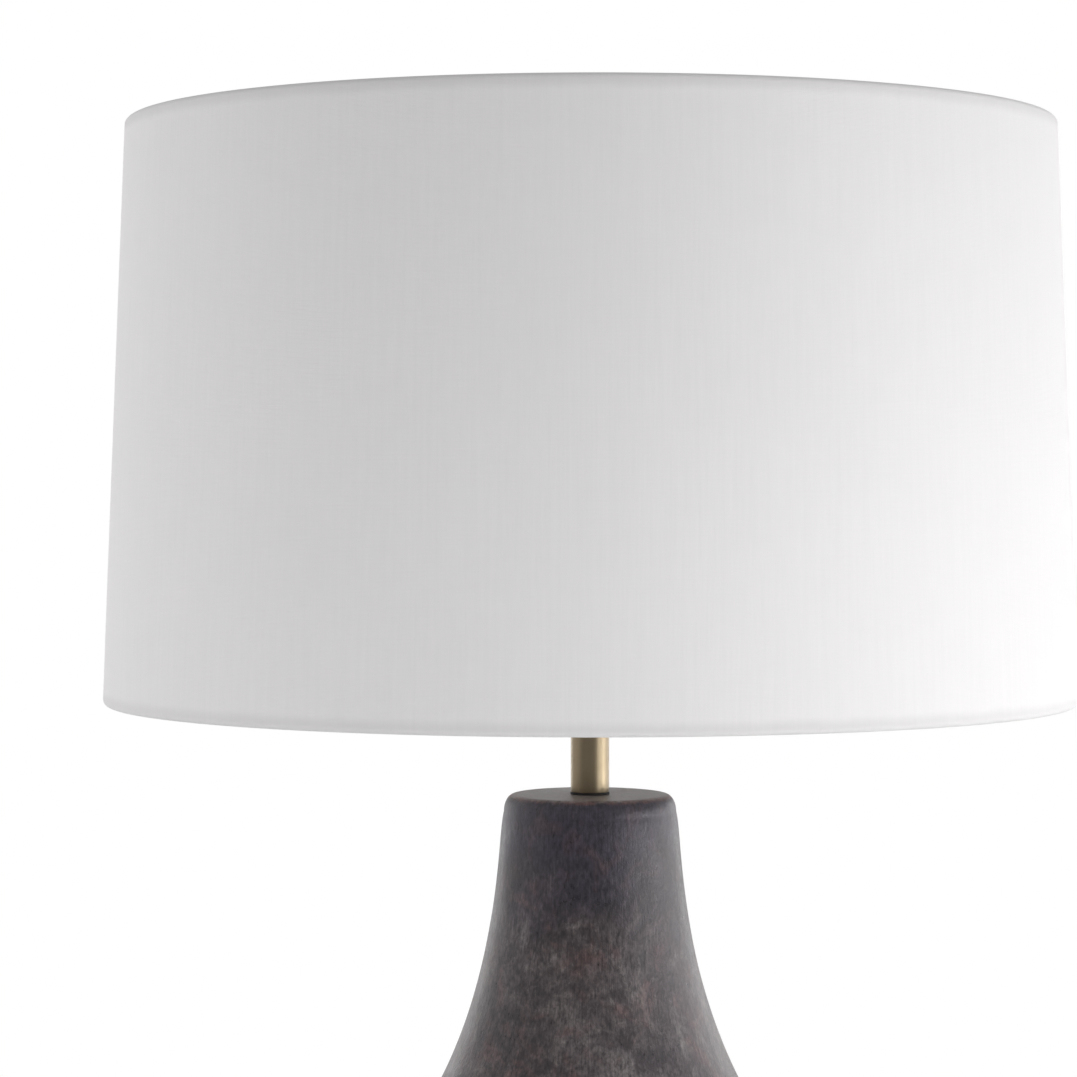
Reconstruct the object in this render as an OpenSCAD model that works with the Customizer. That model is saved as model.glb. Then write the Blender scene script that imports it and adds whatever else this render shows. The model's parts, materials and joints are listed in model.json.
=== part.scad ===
// Table lamp with a drum shade.
// A hollow ceramic body stands on a felt pad. A threaded pipe clamps it between a steel plate
// underneath and a brass neck tube on top. The pipe also carries the harp saddle and the lamp
// socket, and the harp carries the shade on a three-arm spider under a finial.
// Origin: centre of the felt pad's underside. +Z is up, -Y is the front (switch knob),
// +Y is the back (cord outlet), and the harp stands in the XZ plane.

/* [Body] */
// Height of the body's flat top above the table
body_top_z = 410; // [400:1:420]
// Radius of the flat top
body_flat_r = 39.7; // [38:0.1:41]
// Radius just under the rounded shoulder
shoulder_r = 45.3; // [44:0.1:47]
// Height of the rounded shoulder
shoulder_h = 9; // [6:0.5:12]
// Radius where the hollow neck curve turns into the full belly curve
flank_r = 89.2; // [84:0.1:94]
// Depth of that turning point below the flat top
flank_depth = 169.4; // [165:0.1:175]
// Outward slope of the outline at the turning point, sideways per unit down
flank_slope = 0.615; // [0.55:0.005:0.68]
// Fullness of the belly: sideways reach of its control point
belly_reach = 141; // [132:1:150]
// Radius of the upright foot
foot_r = 84; // [80:1:90]
// Height of the foot's upper edge above the table
foot_z = 20; // [19:1:24]
// Ceramic wall, measured level
wall = 7; // [6:0.5:9]

/* [Base] */
// Thickness of the felt pad
felt_t = 2; // [1.5:0.5:3]
// Underside of the body's floor, above the table
floor_z = 18; // [17:0.5:19]
// Thickness of the body's floor
floor_t = 8; // [7:0.5:10]
// Inner radius of the foot ring
foot_ring_r = 72; // [68:1:74]
// Radius of the steel clamp plate and its gasket
plate_r = 36; // [30:1:45]
// Height of the cord outlet's centre
outlet_z = 10; // [9.6:0.1:10.4]
// Bore radius of the cord grommet
outlet_r = 3.6; // [3:0.1:4]

/* [Neck] */
// Outer diameter of the neck tube
neck_d = 20.2; // [19:0.1:21]
// Wall of the neck tube
neck_wall = 1.5; // [1:0.1:2]
// Length of the neck tube
neck_len = 74.6; // [74:0.1:76]
// Outer diameter of the threaded pipe
pipe_d = 10.2; // [10:0.05:10.4]
// Bore of the threaded pipe
pipe_bore = 6.8; // [6:0.1:7]

/* [Socket] */
// Outer diameter of the socket shell
shell_d = 33.6; // [33:0.1:34]
// Height of the socket shell
shell_h = 47; // [46:0.5:48]
// Crest radius inside the screw shell
screw_crest_r = 13.3; // [13.2:0.01:13.35]
// Pitch of the bulb thread
screw_pitch = 3.62; // [3.5:0.01:3.7]
// Radius of the switch shaft
shaft_r = 1.6; // [1.5:0.05:1.8]

/* [Bulb] */
// Largest radius of the bulb's glass
bulb_r = 30; // [28:0.5:30]
// Length of the bulb from its contact to the top of the glass
bulb_len = 108; // [106:1:110]
// Glass wall
glass_t = 0.8; // [0.6:0.1:1]

/* [Harp] */
// Height from the foot of the harp's legs to the seat under the shade
harp_h = 241; // [238:1:244]
// Diameter of the harp wire
harp_wire_d = 4; // [3.6:0.1:4.2]
// Distance of each leg from the lamp's axis at the saddle
leg_x = 28.6; // [28:0.1:29.5]
// Upright length at the foot of each leg, along which the ferrule slides
leg_straight = 26; // [26:1:30]
// Outward lean of the legs
leg_lean = 14; // [12:0.5:15]
// Length of a ferrule
ferrule_len = 15; // [12:1:15]

/* [Shade] */
// Height of the shade's lower rim above the table
shade_z = 459; // [457:1:461]
// Height of the shade
shade_h = 302; // [300:1:306]
// Outer diameter of the lower rim
shade_bottom_d = 508; // [500:1:515]
// Outer diameter of the upper rim
shade_top_d = 484.6; // [478:0.1:490]
// Thickness of the fabric, and of the stiff liner behind it
sheet_t = 0.6; // [0.4:0.1:0.8]
// Diameter of the rim wires
rim_wire_d = 3.2; // [2.8:0.1:3.4]
// How far the fabric, rolled over a rim wire, reaches past it on the inside
hem_reach = 4; // [3:0.5:5]
// Diameter of the spider's arms
arm_d = 3.2; // [3:0.1:3.4]

/* [Finial] */
// Height of the finial above the spider's hub
finial_h = 27; // [25:0.5:28]
// Radius of the finial's ball
finial_ball_r = 7.5; // [6.5:0.5:8]

/* [Fits] */
// Radial clearance of turning and sliding fits
run_fit = 0.06; // [0.04:0.01:0.1]
// Radial clearance of a part that only slips over another
slip_fit = 0.15; // [0.1:0.05:0.3]

/* [Quality] */
// Smoothness of round parts
$fn = 96; // [64:8:144]

/* [Hidden] */

// Small overlap that makes unions and cuts clean
eps = 0.01;

// Neck stack, from the body's flat top upwards
gasket_t = 1.2;
neck_z = body_top_z + gasket_t;
neck_r = neck_d / 2;
neck_cap_t = 1.2;
saddle_z = neck_z + neck_len + neck_cap_t;
saddle_t = 1.6;
saddle_w = 13;
locknut_t = 3;
pipe_r = pipe_d / 2;
pipe_foot_z = 4.5;
pipe_top_z = saddle_z + saddle_t + locknut_t + 6;

// Clamp stack under the body's floor, from the floor downwards
clamp_gasket_t = 2;
clamp_plate_t = 2.5;
lock_washer_t = 1.5;
pipe_nut_t = 6;
nut_flats = 15;

// Socket, from its cap upwards
cap_z = saddle_z + saddle_t + locknut_t + 0.2;
cap_hub_r = 8.5;
cap_hub_h = 7;
cap_skirt_z = cap_z + 15.5;
cap_skirt_h = 8;
cap_wall = 0.8;
shell_r = shell_d / 2;
shell_z = cap_skirt_z + 1;
shell_top_z = shell_z + shell_h;
shell_wall = 0.6;
sleeve_t = 0.7;
interior_z = shell_z + 4;
interior_h = 17;
screw_z = interior_z + interior_h;
shaft_z = interior_z + 8;
shaft_tip_y = -37;
knob_y = -22;
knob_len = 15;

// Bulb, from its contact upwards
bulb_z = screw_z + 4;
bulb_screw_r = screw_crest_r - 0.1;
bulb_cap_z = bulb_z + 4.5;
bulb_cap_h = 22;
bulb_centre_z = bulb_z + bulb_len - bulb_r;

// Harp and its seat for the shade
leg_z = saddle_z + 13;
post_top_z = leg_z - 0.15;
seat_z = leg_z + harp_h;
stud_flange_t = 1;
strap_t = 3;
strap_z = seat_z - stud_flange_t - strap_t;
strap_half = 12;
hub_t = 2.4;
hub_r = 11;
boss_r = 5.45;
thread_r = 3.175;

// Shade: centres of the rim wires, and the slope of its side
slope = atan((shade_bottom_d - shade_top_d) / 2 / shade_h);
rim_wire_r = rim_wire_d / 2;
sheet_gap = 0.03;
hem_inner_r = rim_wire_r + sheet_t + 2 * sheet_gap;
hem_outer_r = hem_inner_r + sheet_t;
top_wire_z = shade_z + shade_h - hem_outer_r;
bottom_wire_z = shade_z + hem_outer_r;
top_wire_r = shade_top_d / 2 - hem_outer_r;
bottom_wire_r = shade_bottom_d / 2 - hem_outer_r;
arm_angles = [90, 210, 330];
arm_r = arm_d / 2;
arm_rise_angle = 60;
arm_bend_r = 8;

// Radius of the rim wire line at a height
function wire_line_r(z) =
    bottom_wire_r + (top_wire_r - bottom_wire_r) * (z - bottom_wire_z)
        / (top_wire_z - bottom_wire_z);

// Point on a cubic curve with four control points
function curve_point(p, t) =
    pow(1 - t, 3) * p[0] + 3 * pow(1 - t, 2) * t * p[1]
        + 3 * (1 - t) * t * t * p[2] + pow(t, 3) * p[3];

// Outline of the body from the shoulder down to the foot, as [radius, height] points
flank = [flank_r, body_top_z - flank_depth];
neck_curve = [
    [shoulder_r, body_top_z - shoulder_h],
    [shoulder_r + 4.1, body_top_z - shoulder_h - 15],
    flank + 70.3 * [-flank_slope, 1],
    flank
];
belly_curve = [
    flank,
    flank + 50 * [flank_slope, -1],
    [belly_reach, 90],
    [foot_r, foot_z]
];
shoulder_outline = [
    for (a = [0 : 10 : 80])
        [body_flat_r + (shoulder_r - body_flat_r) * sin(a),
         body_top_z - shoulder_h * (1 - cos(a))]
];
neck_outline = [for (i = [0 : 15]) curve_point(neck_curve, i / 16)];
belly_outline = [for (i = [0 : 20]) curve_point(belly_curve, i / 20)];

// ---------------------------------------------------------------- shared shapes

// Straight tube standing on z
module tube(r_out, r_in, z, h) {
    translate([0, 0, z])
        difference() {
            cylinder(r = r_out, h = h);
            translate([0, 0, -1]) cylinder(r = r_in, h = h + 2);
        }
}

// Hexagonal nut with a round bore, standing on z
module hex_nut(flats, bore_r, z, h) {
    translate([0, 0, z])
        difference() {
            cylinder(r = flats / 2 / cos(30), h = h, $fn = 6);
            translate([0, 0, -1]) cylinder(r = bore_r, h = h + 2);
        }
}

// Quarter, or other part, of a wire ring that starts at the origin along +Z and bends to +X
module wire_bend(r, a, wire_r) {
    translate([r, 0, 0])
        rotate([90, 0, 0])
            rotate([0, 0, 180 - a])
                rotate_extrude(angle = a)
                    translate([r, 0]) circle(r = wire_r, $fn = 32);
}

// Bent wire that starts at the origin along +Z. Each step is [length, 0] for a straight run
// or [bend radius, angle] for a bend, with a positive angle towards +X. A ball a hair thicker
// than the wire joins each step to the one before.
module bent_wire(steps, wire_r, i = 0) {
    if (i < len(steps)) {
        size = steps[i][0];
        a = steps[i][1];
        if (i > 0) sphere(r = wire_r + 0.12, $fn = 48);
        if (a == 0) {
            cylinder(r = wire_r, h = size, $fn = 32);
            translate([0, 0, size]) bent_wire(steps, wire_r, i + 1);
        } else {
            side = sign(a);
            mirror([side < 0 ? 1 : 0, 0, 0]) wire_bend(size, abs(a), wire_r);
            translate([side * size * (1 - cos(a)), 0, size * sin(abs(a))])
                rotate([0, a, 0]) bent_wire(steps, wire_r, i + 1);
        }
    }
}

// ---------------------------------------------------------------- body and base

module lamp_body() {
    inner_top = [for (p = shoulder_outline) [p[0] - wall, p[1] - wall]];
    color("#4a4543")
    difference() {
        rotate_extrude()
            polygon(concat(
                [[0, body_top_z]],
                shoulder_outline, neck_outline, belly_outline,
                [[foot_r, felt_t + 1], [foot_r - 1, felt_t], [0, felt_t]]
            ));
        // Hollow inside, with the same curves one wall further in
        rotate_extrude()
            polygon(concat(
                [[0, body_top_z - wall]],
                [for (p = inner_top) p],
                [for (p = neck_outline) [p[0] - wall, p[1] - wall]],
                [for (p = belly_outline) if (p[1] > floor_z + floor_t + 12) [p[0] - wall, p[1]]],
                [[foot_r - wall, floor_z + floor_t], [0, floor_z + floor_t]]
            ));
        // Recess inside the foot ring
        translate([0, 0, felt_t - 1]) cylinder(r = foot_ring_r, h = floor_z - felt_t + 1);
        // Pipe holes through the top and the floor
        translate([0, 0, body_top_z - wall - 2]) cylinder(r = pipe_r + slip_fit, h = wall + 4);
        translate([0, 0, floor_z - 1]) cylinder(r = 22, h = floor_t + 2);
        // Cord outlet through the back of the foot ring
        translate([0, foot_ring_r - 4, outlet_z])
            rotate([-90, 0, 0]) cylinder(r = outlet_r + 1.6, h = foot_r - foot_ring_r + 8);
    }
}

module felt_pad() {
    color("#20201f")
    rotate_extrude()
        polygon([[0, 0], [foot_r - 2.5, 0], [foot_r - 2, 0.5], [foot_r - 2, felt_t], [0, felt_t]]);
}

module clamp_gasket() {
    color("#2b2a28")
    tube(plate_r, pipe_r + slip_fit, floor_z - clamp_gasket_t, clamp_gasket_t);
}

module clamp_plate() {
    z = floor_z - clamp_gasket_t - clamp_plate_t;
    color("#a7a9ab")
    tube(plate_r, pipe_r + slip_fit, z, clamp_plate_t);
}

module lock_washer() {
    z = floor_z - clamp_gasket_t - clamp_plate_t - lock_washer_t;
    color("#b9bbbd")
    difference() {
        tube(9.5, pipe_r + slip_fit, z, lock_washer_t);
        // Split through the ring
        translate([pipe_r - 1, -0.6, z - 1]) cube([8, 1.2, lock_washer_t + 2]);
    }
}

module pipe_nut() {
    z = floor_z - clamp_gasket_t - clamp_plate_t - lock_washer_t - pipe_nut_t;
    color("#b8923f")
    hex_nut(nut_flats, pipe_r, z, pipe_nut_t);
}

module threaded_pipe() {
    color("#b3b5b7")
    tube(pipe_r, pipe_bore / 2, pipe_foot_z, pipe_top_z - pipe_foot_z);
}

module cord_grommet() {
    barrel_r = outlet_r + 1.6;
    flange_r = outlet_r + 3.4;
    flange_t = 1.6;
    color("#1c1c1c")
    translate([0, 0, outlet_z])
        rotate([-90, 0, 0])
            difference() {
                union() {
                    translate([0, 0, foot_ring_r - flange_t - 0.5])
                        cylinder(r = barrel_r, h = foot_r - foot_ring_r + 2 * flange_t + 0.6);
                    translate([0, 0, foot_ring_r - flange_t - 0.5])
                        cylinder(r = flange_r, h = flange_t);
                    translate([0, 0, foot_r + 0.1]) cylinder(r = flange_r, h = flange_t);
                }
                translate([0, 0, foot_ring_r - 4])
                    cylinder(r = outlet_r, h = foot_r - foot_ring_r + 10);
            }
}

// ---------------------------------------------------------------- neck

module neck_gasket() {
    color("#262321")
    tube(neck_r + 0.2, pipe_r + slip_fit, body_top_z, gasket_t);
}

module neck_tube() {
    color("#8d7a55")
    rotate_extrude()
        polygon([
            [neck_r - neck_wall, neck_z], [neck_r - 0.3, neck_z], [neck_r, neck_z + 0.3],
            [neck_r, neck_z + neck_len - 0.3], [neck_r - 0.3, neck_z + neck_len],
            [neck_r - neck_wall, neck_z + neck_len]
        ]);
}

module neck_centering_rings() {
    ring_h = 4;
    ring_r = neck_r - neck_wall - 0.05;
    color("#b8923f")
    for (z = [neck_z, neck_z + neck_len - ring_h])
        tube(ring_r, pipe_r + slip_fit, z, ring_h);
}

module neck_cap_washer() {
    color("#8d7a55")
    tube(neck_r + 1.4, pipe_r + slip_fit, neck_z + neck_len, neck_cap_t);
}

// ---------------------------------------------------------------- saddle and socket

// One upturned end of the saddle: a bend, an upright and the post for the harp's leg
module saddle_arm() {
    bend_r = 3;
    upright_x = leg_x - saddle_t / 2;
    post_z = saddle_z + 9;
    translate([upright_x - bend_r, saddle_w / 2, saddle_z + saddle_t + bend_r])
        rotate([90, 0, 0])
            rotate([0, 0, -90])
                rotate_extrude(angle = 90)
                    translate([bend_r, 0]) square([saddle_t, saddle_w]);
    translate([upright_x, 0, saddle_z + saddle_t + bend_r])
        translate([0, -saddle_w / 2, 0])
            cube([saddle_t, saddle_w, post_z - saddle_z - saddle_t - bend_r]);
    translate([leg_x, 0, post_z - 1]) cylinder(r = harp_wire_d / 2, h = post_top_z - post_z + 1);
}

module harp_saddle() {
    flat_x = leg_x - saddle_t / 2 - 3;
    color("#b8923f")
    difference() {
        union() {
            translate([-flat_x, -saddle_w / 2, saddle_z])
                cube([2 * flat_x, saddle_w, saddle_t]);
            saddle_arm();
            mirror([1, 0, 0]) saddle_arm();
        }
        translate([0, 0, saddle_z - 1]) cylinder(r = pipe_r + slip_fit, h = saddle_t + 2);
    }
}

module saddle_locknut() {
    color("#b8923f")
    hex_nut(nut_flats, pipe_r, saddle_z + saddle_t, locknut_t);
}

module socket_cap() {
    skirt_r = shell_r + 0.1 + cap_wall;
    neck_top = cap_z + cap_hub_h;
    color("#b8923f")
    difference() {
        rotate_extrude()
            polygon([
                [pipe_r + eps, cap_z], [cap_hub_r, cap_z], [cap_hub_r, neck_top - 1],
                [cap_hub_r + 1.5, neck_top], [skirt_r - 3, cap_skirt_z - 3.5],
                [skirt_r, cap_skirt_z], [skirt_r, cap_skirt_z + cap_skirt_h],
                [skirt_r - cap_wall, cap_skirt_z + cap_skirt_h],
                [skirt_r - cap_wall, cap_skirt_z], [skirt_r - 4, cap_skirt_z - 2.5],
                [cap_hub_r + 1, neck_top + 1], [pipe_r + eps, neck_top + 1]
            ]);
        // Tapped hole for the set screw
        translate([pipe_r - 1, 0, cap_z + 3.5]) rotate([0, 90, 0]) cylinder(r = 1.6, h = 8);
    }
}

module cap_set_screw() {
    color("#c9cacb")
    translate([pipe_r + 0.05, 0, cap_z + 3.5])
        rotate([0, 90, 0])
            difference() {
                cylinder(r = 1.55, h = 5.5);
                translate([-2, -0.3, 4.6]) cube([4, 0.6, 2]);
            }
}

module socket_shell() {
    lip = 0.9;
    color("#b8923f")
    difference() {
        rotate_extrude()
            polygon([
                [shell_r - shell_wall, shell_z], [shell_r, shell_z],
                [shell_r, shell_top_z - lip], [shell_r + lip, shell_top_z - lip],
                [shell_r + lip, shell_top_z], [shell_r - shell_wall, shell_top_z]
            ]);
        // Opening for the switch shaft
        translate([0, 0, shaft_z]) rotate([90, 0, 0]) cylinder(r = 3, h = shell_r + 2);
    }
}

module insulating_sleeve() {
    r = shell_r - shell_wall - 0.05;
    color("#c8b28a")
    difference() {
        tube(r, r - sleeve_t, shell_z + 1, shell_h - 2);
        translate([0, 0, shaft_z]) rotate([90, 0, 0]) cylinder(r = 2.6, h = shell_r + 2);
    }
}

module socket_interior() {
    r = shell_r - shell_wall - sleeve_t - 0.3;
    color("#2a2320")
    difference() {
        translate([0, 0, interior_z]) cylinder(r = r, h = interior_h);
        // Wire room at the bottom, over the end of the pipe
        translate([0, 0, interior_z - 1]) cylinder(r = pipe_r + 2, h = 3);
        // Bearing of the switch shaft
        translate([0, 0, shaft_z])
            rotate([90, 0, 0]) cylinder(r = shaft_r + run_fit, h = shell_r + 2);
        // Flats with a tapped hole for each terminal screw
        for (side = [-1, 1]) {
            translate([side * (r - 1.5) - (side < 0 ? 4 : 0), -5, shaft_z - 5])
                cube([4, 10, 10]);
            translate([side * (r - 6.4), 0, shaft_z])
                rotate([0, side * 90, 0]) cylinder(r = 1.5, h = 8);
        }
    }
}

module screw_shell() {
    wall_t = 0.5;
    groove = 0.8;
    h = 20;
    turns = floor(h / screw_pitch) - 1;
    color("#c4a55c")
    difference() {
        union() {
            tube(screw_crest_r + groove + wall_t, screw_crest_r, screw_z, h);
            translate([0, 0, screw_z])
                tube(screw_crest_r + 0.5, 4.5, 0, wall_t);
        }
        for (i = [0 : turns])
            translate([0, 0, screw_z + 2.4 + i * screw_pitch])
                rotate_extrude()
                    translate([screw_crest_r - 0.2, 0]) circle(r = 1, $fn = 32);
    }
}

module centre_contact() {
    color("#b8923f")
    union() {
        translate([-1.6, -3, screw_z]) cube([3.2, 6, 0.6]);
        translate([-1.6, -3, screw_z + 0.6]) cube([3.2, 0.6, 1.8]);
        translate([-1.6, -3, screw_z + 2.4]) cube([3.2, 5, 0.6]);
        translate([0, 0, screw_z + 3]) cylinder(r = 1.4, h = 0.9);
    }
}

module terminal_screws() {
    r = shell_r - shell_wall - sleeve_t - 0.3;
    color("#c9a94e")
    for (side = [-1, 1])
        translate([side * (r - 1.5), 0, shaft_z])
            rotate([0, side * 90, 0])
                difference() {
                    union() {
                        cylinder(r = 3, h = 1.3);
                        translate([0, 0, -4.5]) cylinder(r = 1.45, h = 4.6);
                    }
                    translate([-4, -0.4, 0.7]) cube([8, 0.8, 2]);
                }
}

module switch_shaft() {
    color("#b8923f")
    translate([0, 0, shaft_z])
        rotate([90, 0, 0])
            union() {
                translate([0, 0, 1]) cylinder(r = shaft_r, h = -shaft_tip_y - 2);
                // Thrust collar inside the shell
                translate([0, 0, shell_r + 0.3]) cylinder(r = shaft_r + 0.9, h = 0.8);
            }
}

module switch_knob() {
    flutes = 12;
    color("#6f5f43")
    translate([0, knob_y, shaft_z])
        rotate([90, 0, 0])
            difference() {
                rotate_extrude()
                    polygon([
                        [0, 0], [4.2, 0], [4.6, 0.4], [4.6, 1.6], [4, 2.4],
                        [5.6, knob_len - 2], [5.2, knob_len - 0.6], [4.4, knob_len], [0, knob_len]
                    ]);
                for (i = [0 : flutes - 1])
                    rotate([0, 0, i * 360 / flutes])
                        translate([6.2, 0, 4]) cylinder(r = 1, h = knob_len, $fn = 24);
                translate([0, 0, -1]) cylinder(r = shaft_r, h = -shaft_tip_y + knob_y - 1 + 1);
            }
}

// ---------------------------------------------------------------- bulb

// Outline of the glass from its crown down to its open foot, t inside the outer skin: a ball
// that flows through a hollow bend into a straight neck, as [radius, height] points
glass_neck_r = 12.05;
glass_bend_r = 45;
glass_bend_x = glass_neck_r + glass_bend_r;
glass_drop = sqrt(pow(bulb_r + glass_bend_r, 2) - pow(glass_bend_x, 2));
glass_touch = atan(glass_drop / glass_bend_x);
glass_foot_z = bulb_cap_z + bulb_cap_h - 3;
function glass_outline(t) = concat(
    [for (i = [0 : 20])
        let (a = 90 - i / 20 * (90 + glass_touch))
        [(bulb_r - t) * cos(a), bulb_centre_z + (bulb_r - t) * sin(a)]],
    [for (i = [1 : 8])
        let (a = 180 - glass_touch + i / 8 * glass_touch)
        [glass_bend_x + (glass_bend_r + t) * cos(a),
         bulb_centre_z - glass_drop + (glass_bend_r + t) * sin(a)]],
    [[glass_neck_r - t, glass_foot_z]]
);

module bulb_glass() {
    outer = glass_outline(0);
    inner = glass_outline(glass_t);
    color([0.95, 0.95, 0.92, 0.6])
    rotate_extrude()
        polygon(concat(outer, [for (i = [len(inner) - 1 : -1 : 0]) inner[i]]));
}

module bulb_cap() {
    wall_t = 0.4;
    turns = 4;
    skirt_z = bulb_cap_z + bulb_cap_h;
    color("#c9cacb")
    union() {
        tube(bulb_screw_r - 0.6, bulb_screw_r - 0.6 - wall_t, bulb_cap_z, bulb_cap_h);
        for (i = [0 : turns])
            translate([0, 0, bulb_cap_z + 2.2 + i * screw_pitch])
                rotate_extrude()
                    difference() {
                        translate([bulb_screw_r - 1, 0]) circle(r = 1, $fn = 32);
                        translate([bulb_screw_r - 3, -2]) square([2.3, 4]);
                    }
        tube(bulb_screw_r + 0.2, bulb_screw_r - 0.7, skirt_z - 0.8, 0.8);
    }
}

module bulb_insulator() {
    color("#151515")
    rotate_extrude()
        polygon([
            [2.9, bulb_z + 1.2], [4.6, bulb_z + 1.2], [11.4, bulb_cap_z - 0.05],
            [11.4, bulb_cap_z + 1.5], [2.9, bulb_cap_z + 1.5]
        ]);
}

module bulb_contact() {
    color("#c9cacb")
    union() {
        translate([0, 0, bulb_z + 0.6]) cylinder(r = 4.4, h = 0.6);
        translate([0, 0, bulb_z]) cylinder(r = 3, h = 0.7);
        translate([0, 0, bulb_z + 1]) cylinder(r = 2.85, h = 5);
    }
}

module bulb_stem() {
    flare_z = bulb_cap_z + bulb_cap_h - 2.5;
    tip_z = bulb_centre_z - 12;
    color([0.9, 0.92, 0.9, 0.6])
    rotate_extrude()
        polygon([
            [0, flare_z + 1.5], [10.5, flare_z + 1.5], [10.5, flare_z + 2.6],
            [5, flare_z + 8], [3.4, flare_z + 16], [2.2, flare_z + 24],
            [1.6, tip_z - 2], [2.4, tip_z], [0, tip_z + 1.2]
        ]);
}

module bulb_filament() {
    lead_r = 0.5;
    span = 14;
    lead_z = bulb_centre_z - 24;
    top_z = bulb_centre_z + 4;
    color("#8f9092")
    union() {
        for (side = [-1, 1])
            translate([side * 1.2, 0, lead_z])
                rotate([0, side * atan((span - 1.2) / (top_z - lead_z)), 0])
                    cylinder(r = lead_r, h = norm([span - 1.2, top_z - lead_z]), $fn = 16);
        translate([-span, 0, top_z]) rotate([0, 90, 0]) cylinder(r = 0.9, h = 2 * span, $fn = 24);
    }
}

// ---------------------------------------------------------------- harp

// The leg leans out, bows back over the bulb and turns level into the strap. The run along the
// lean and the last bend's radius are worked out so that the leg ends at the strap.
bow_r = 130;
bow_in = 20;
foot_bend_r = 50;
strap_gap = strap_half - 2;
top_z_needed = strap_z + strap_t / 2 - leg_z - leg_straight
    - foot_bend_r * sin(leg_lean) - bow_r * (sin(leg_lean) + sin(bow_in));
top_x_needed = strap_gap - leg_x - foot_bend_r * (1 - cos(leg_lean))
    - bow_r * (cos(bow_in) - cos(leg_lean));
crown_r = (top_z_needed * sin(leg_lean) - top_x_needed * cos(leg_lean))
    / (sin(leg_lean) * (1 - sin(bow_in)) + cos(leg_lean) * cos(bow_in));
lean_run = (top_z_needed - crown_r * (1 - sin(bow_in))) / cos(leg_lean);

module harp_leg() {
    translate([leg_x, 0, leg_z])
        bent_wire([
            [leg_straight, 0], [foot_bend_r, leg_lean], [lean_run, 0],
            [bow_r, -leg_lean - bow_in], [crown_r, -90 + bow_in], [1, 0]
        ], harp_wire_d / 2);
}

module harp() {
    color("#b8923f")
    difference() {
        union() {
            harp_leg();
            mirror([1, 0, 0]) harp_leg();
            translate([-strap_half, -6, strap_z]) cube([2 * strap_half, 12, strap_t]);
        }
        translate([0, 0, strap_z - 1]) cylinder(r = 2.55, h = strap_t + 2);
    }
}

module harp_stud() {
    color("#c4a55c")
    union() {
        translate([0, 0, strap_z - 1.2]) cylinder(r = 4, h = 1.2);
        translate([0, 0, strap_z - 0.1]) cylinder(r = 2.5, h = strap_t + 0.2);
        translate([0, 0, seat_z - stud_flange_t]) cylinder(r = 6.5, h = stud_flange_t);
        translate([0, 0, seat_z - 0.1]) cylinder(r = boss_r, h = hub_t - 0.3);
        translate([0, 0, seat_z]) cylinder(r = thread_r, h = 13);
    }
}

// Ferrule over the joint between one post and one leg
module ferrule(side) {
    z = saddle_z + 9 + 0.1;
    bore_r = harp_wire_d / 2 + run_fit;
    color("#b8923f")
    translate([side * leg_x, 0, 0])
        rotate_extrude()
            polygon([
                [bore_r, z], [3.3, z], [3.3, z + 1], [2.9, z + 1.4],
                [2.9, z + ferrule_len - 1.4], [3.3, z + ferrule_len - 1],
                [3.3, z + ferrule_len], [bore_r, z + ferrule_len]
            ]);
}

module ferrule_left() ferrule(-1);
module ferrule_right() ferrule(1);

// ---------------------------------------------------------------- shade

// One spider arm from the hub to the rim wire, along +X
module spider_arm() {
    start_r = hub_r - 2;
    z = seat_z + hub_t / 2;
    reach = top_wire_r - rim_wire_r - start_r;
    rise = top_wire_z - z;
    bend_x = arm_bend_r * sin(arm_rise_angle);
    bend_z = arm_bend_r * (1 - cos(arm_rise_angle));
    climb = (rise - bend_z) / sin(arm_rise_angle);
    level = reach - bend_x - climb * cos(arm_rise_angle) + 0.4;
    translate([start_r, 0, z])
        rotate([0, 90, 0])
            bent_wire([[level, 0], [arm_bend_r, -arm_rise_angle], [climb, 0]], arm_r);
}

module spider() {
    color("#e6e4df")
    difference() {
        union() {
            translate([0, 0, seat_z]) cylinder(r = hub_r, h = hub_t);
            for (a = arm_angles) rotate([0, 0, a]) spider_arm();
        }
        translate([0, 0, seat_z - 2]) cylinder(r = boss_r + run_fit, h = hub_t + 4);
    }
}

module rim_wire(r, z) {
    color("#e6e4df")
    rotate_extrude() translate([r, z]) circle(r = rim_wire_r, $fn = 32);
}

module shade_top_wire() rim_wire(top_wire_r, top_wire_z);
module shade_bottom_wire() rim_wire(bottom_wire_r, bottom_wire_z);

module shade_liner() {
    z0 = bottom_wire_z - 0.3;
    z1 = top_wire_z + 0.3;
    inside = rim_wire_r + sheet_gap;
    outside = inside + sheet_t;
    color("#f2f0eb")
    rotate_extrude()
        polygon([
            [wire_line_r(z0) + inside, z0], [wire_line_r(z0) + outside, z0],
            [wire_line_r(z1) + outside, z1], [wire_line_r(z1) + inside, z1]
        ]);
}

// Half ring of points round a rim wire's centre: over it from the outside for side = 1, and
// under it from the inside for side = -1
function roll(r, wire_r, wire_z, side) = [
    for (i = [0 : 12])
        let (a = (side > 0 ? 0 : 180) + slope + 15 * i)
        [wire_r + r * cos(a), wire_z + r * sin(a)]
];

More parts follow.
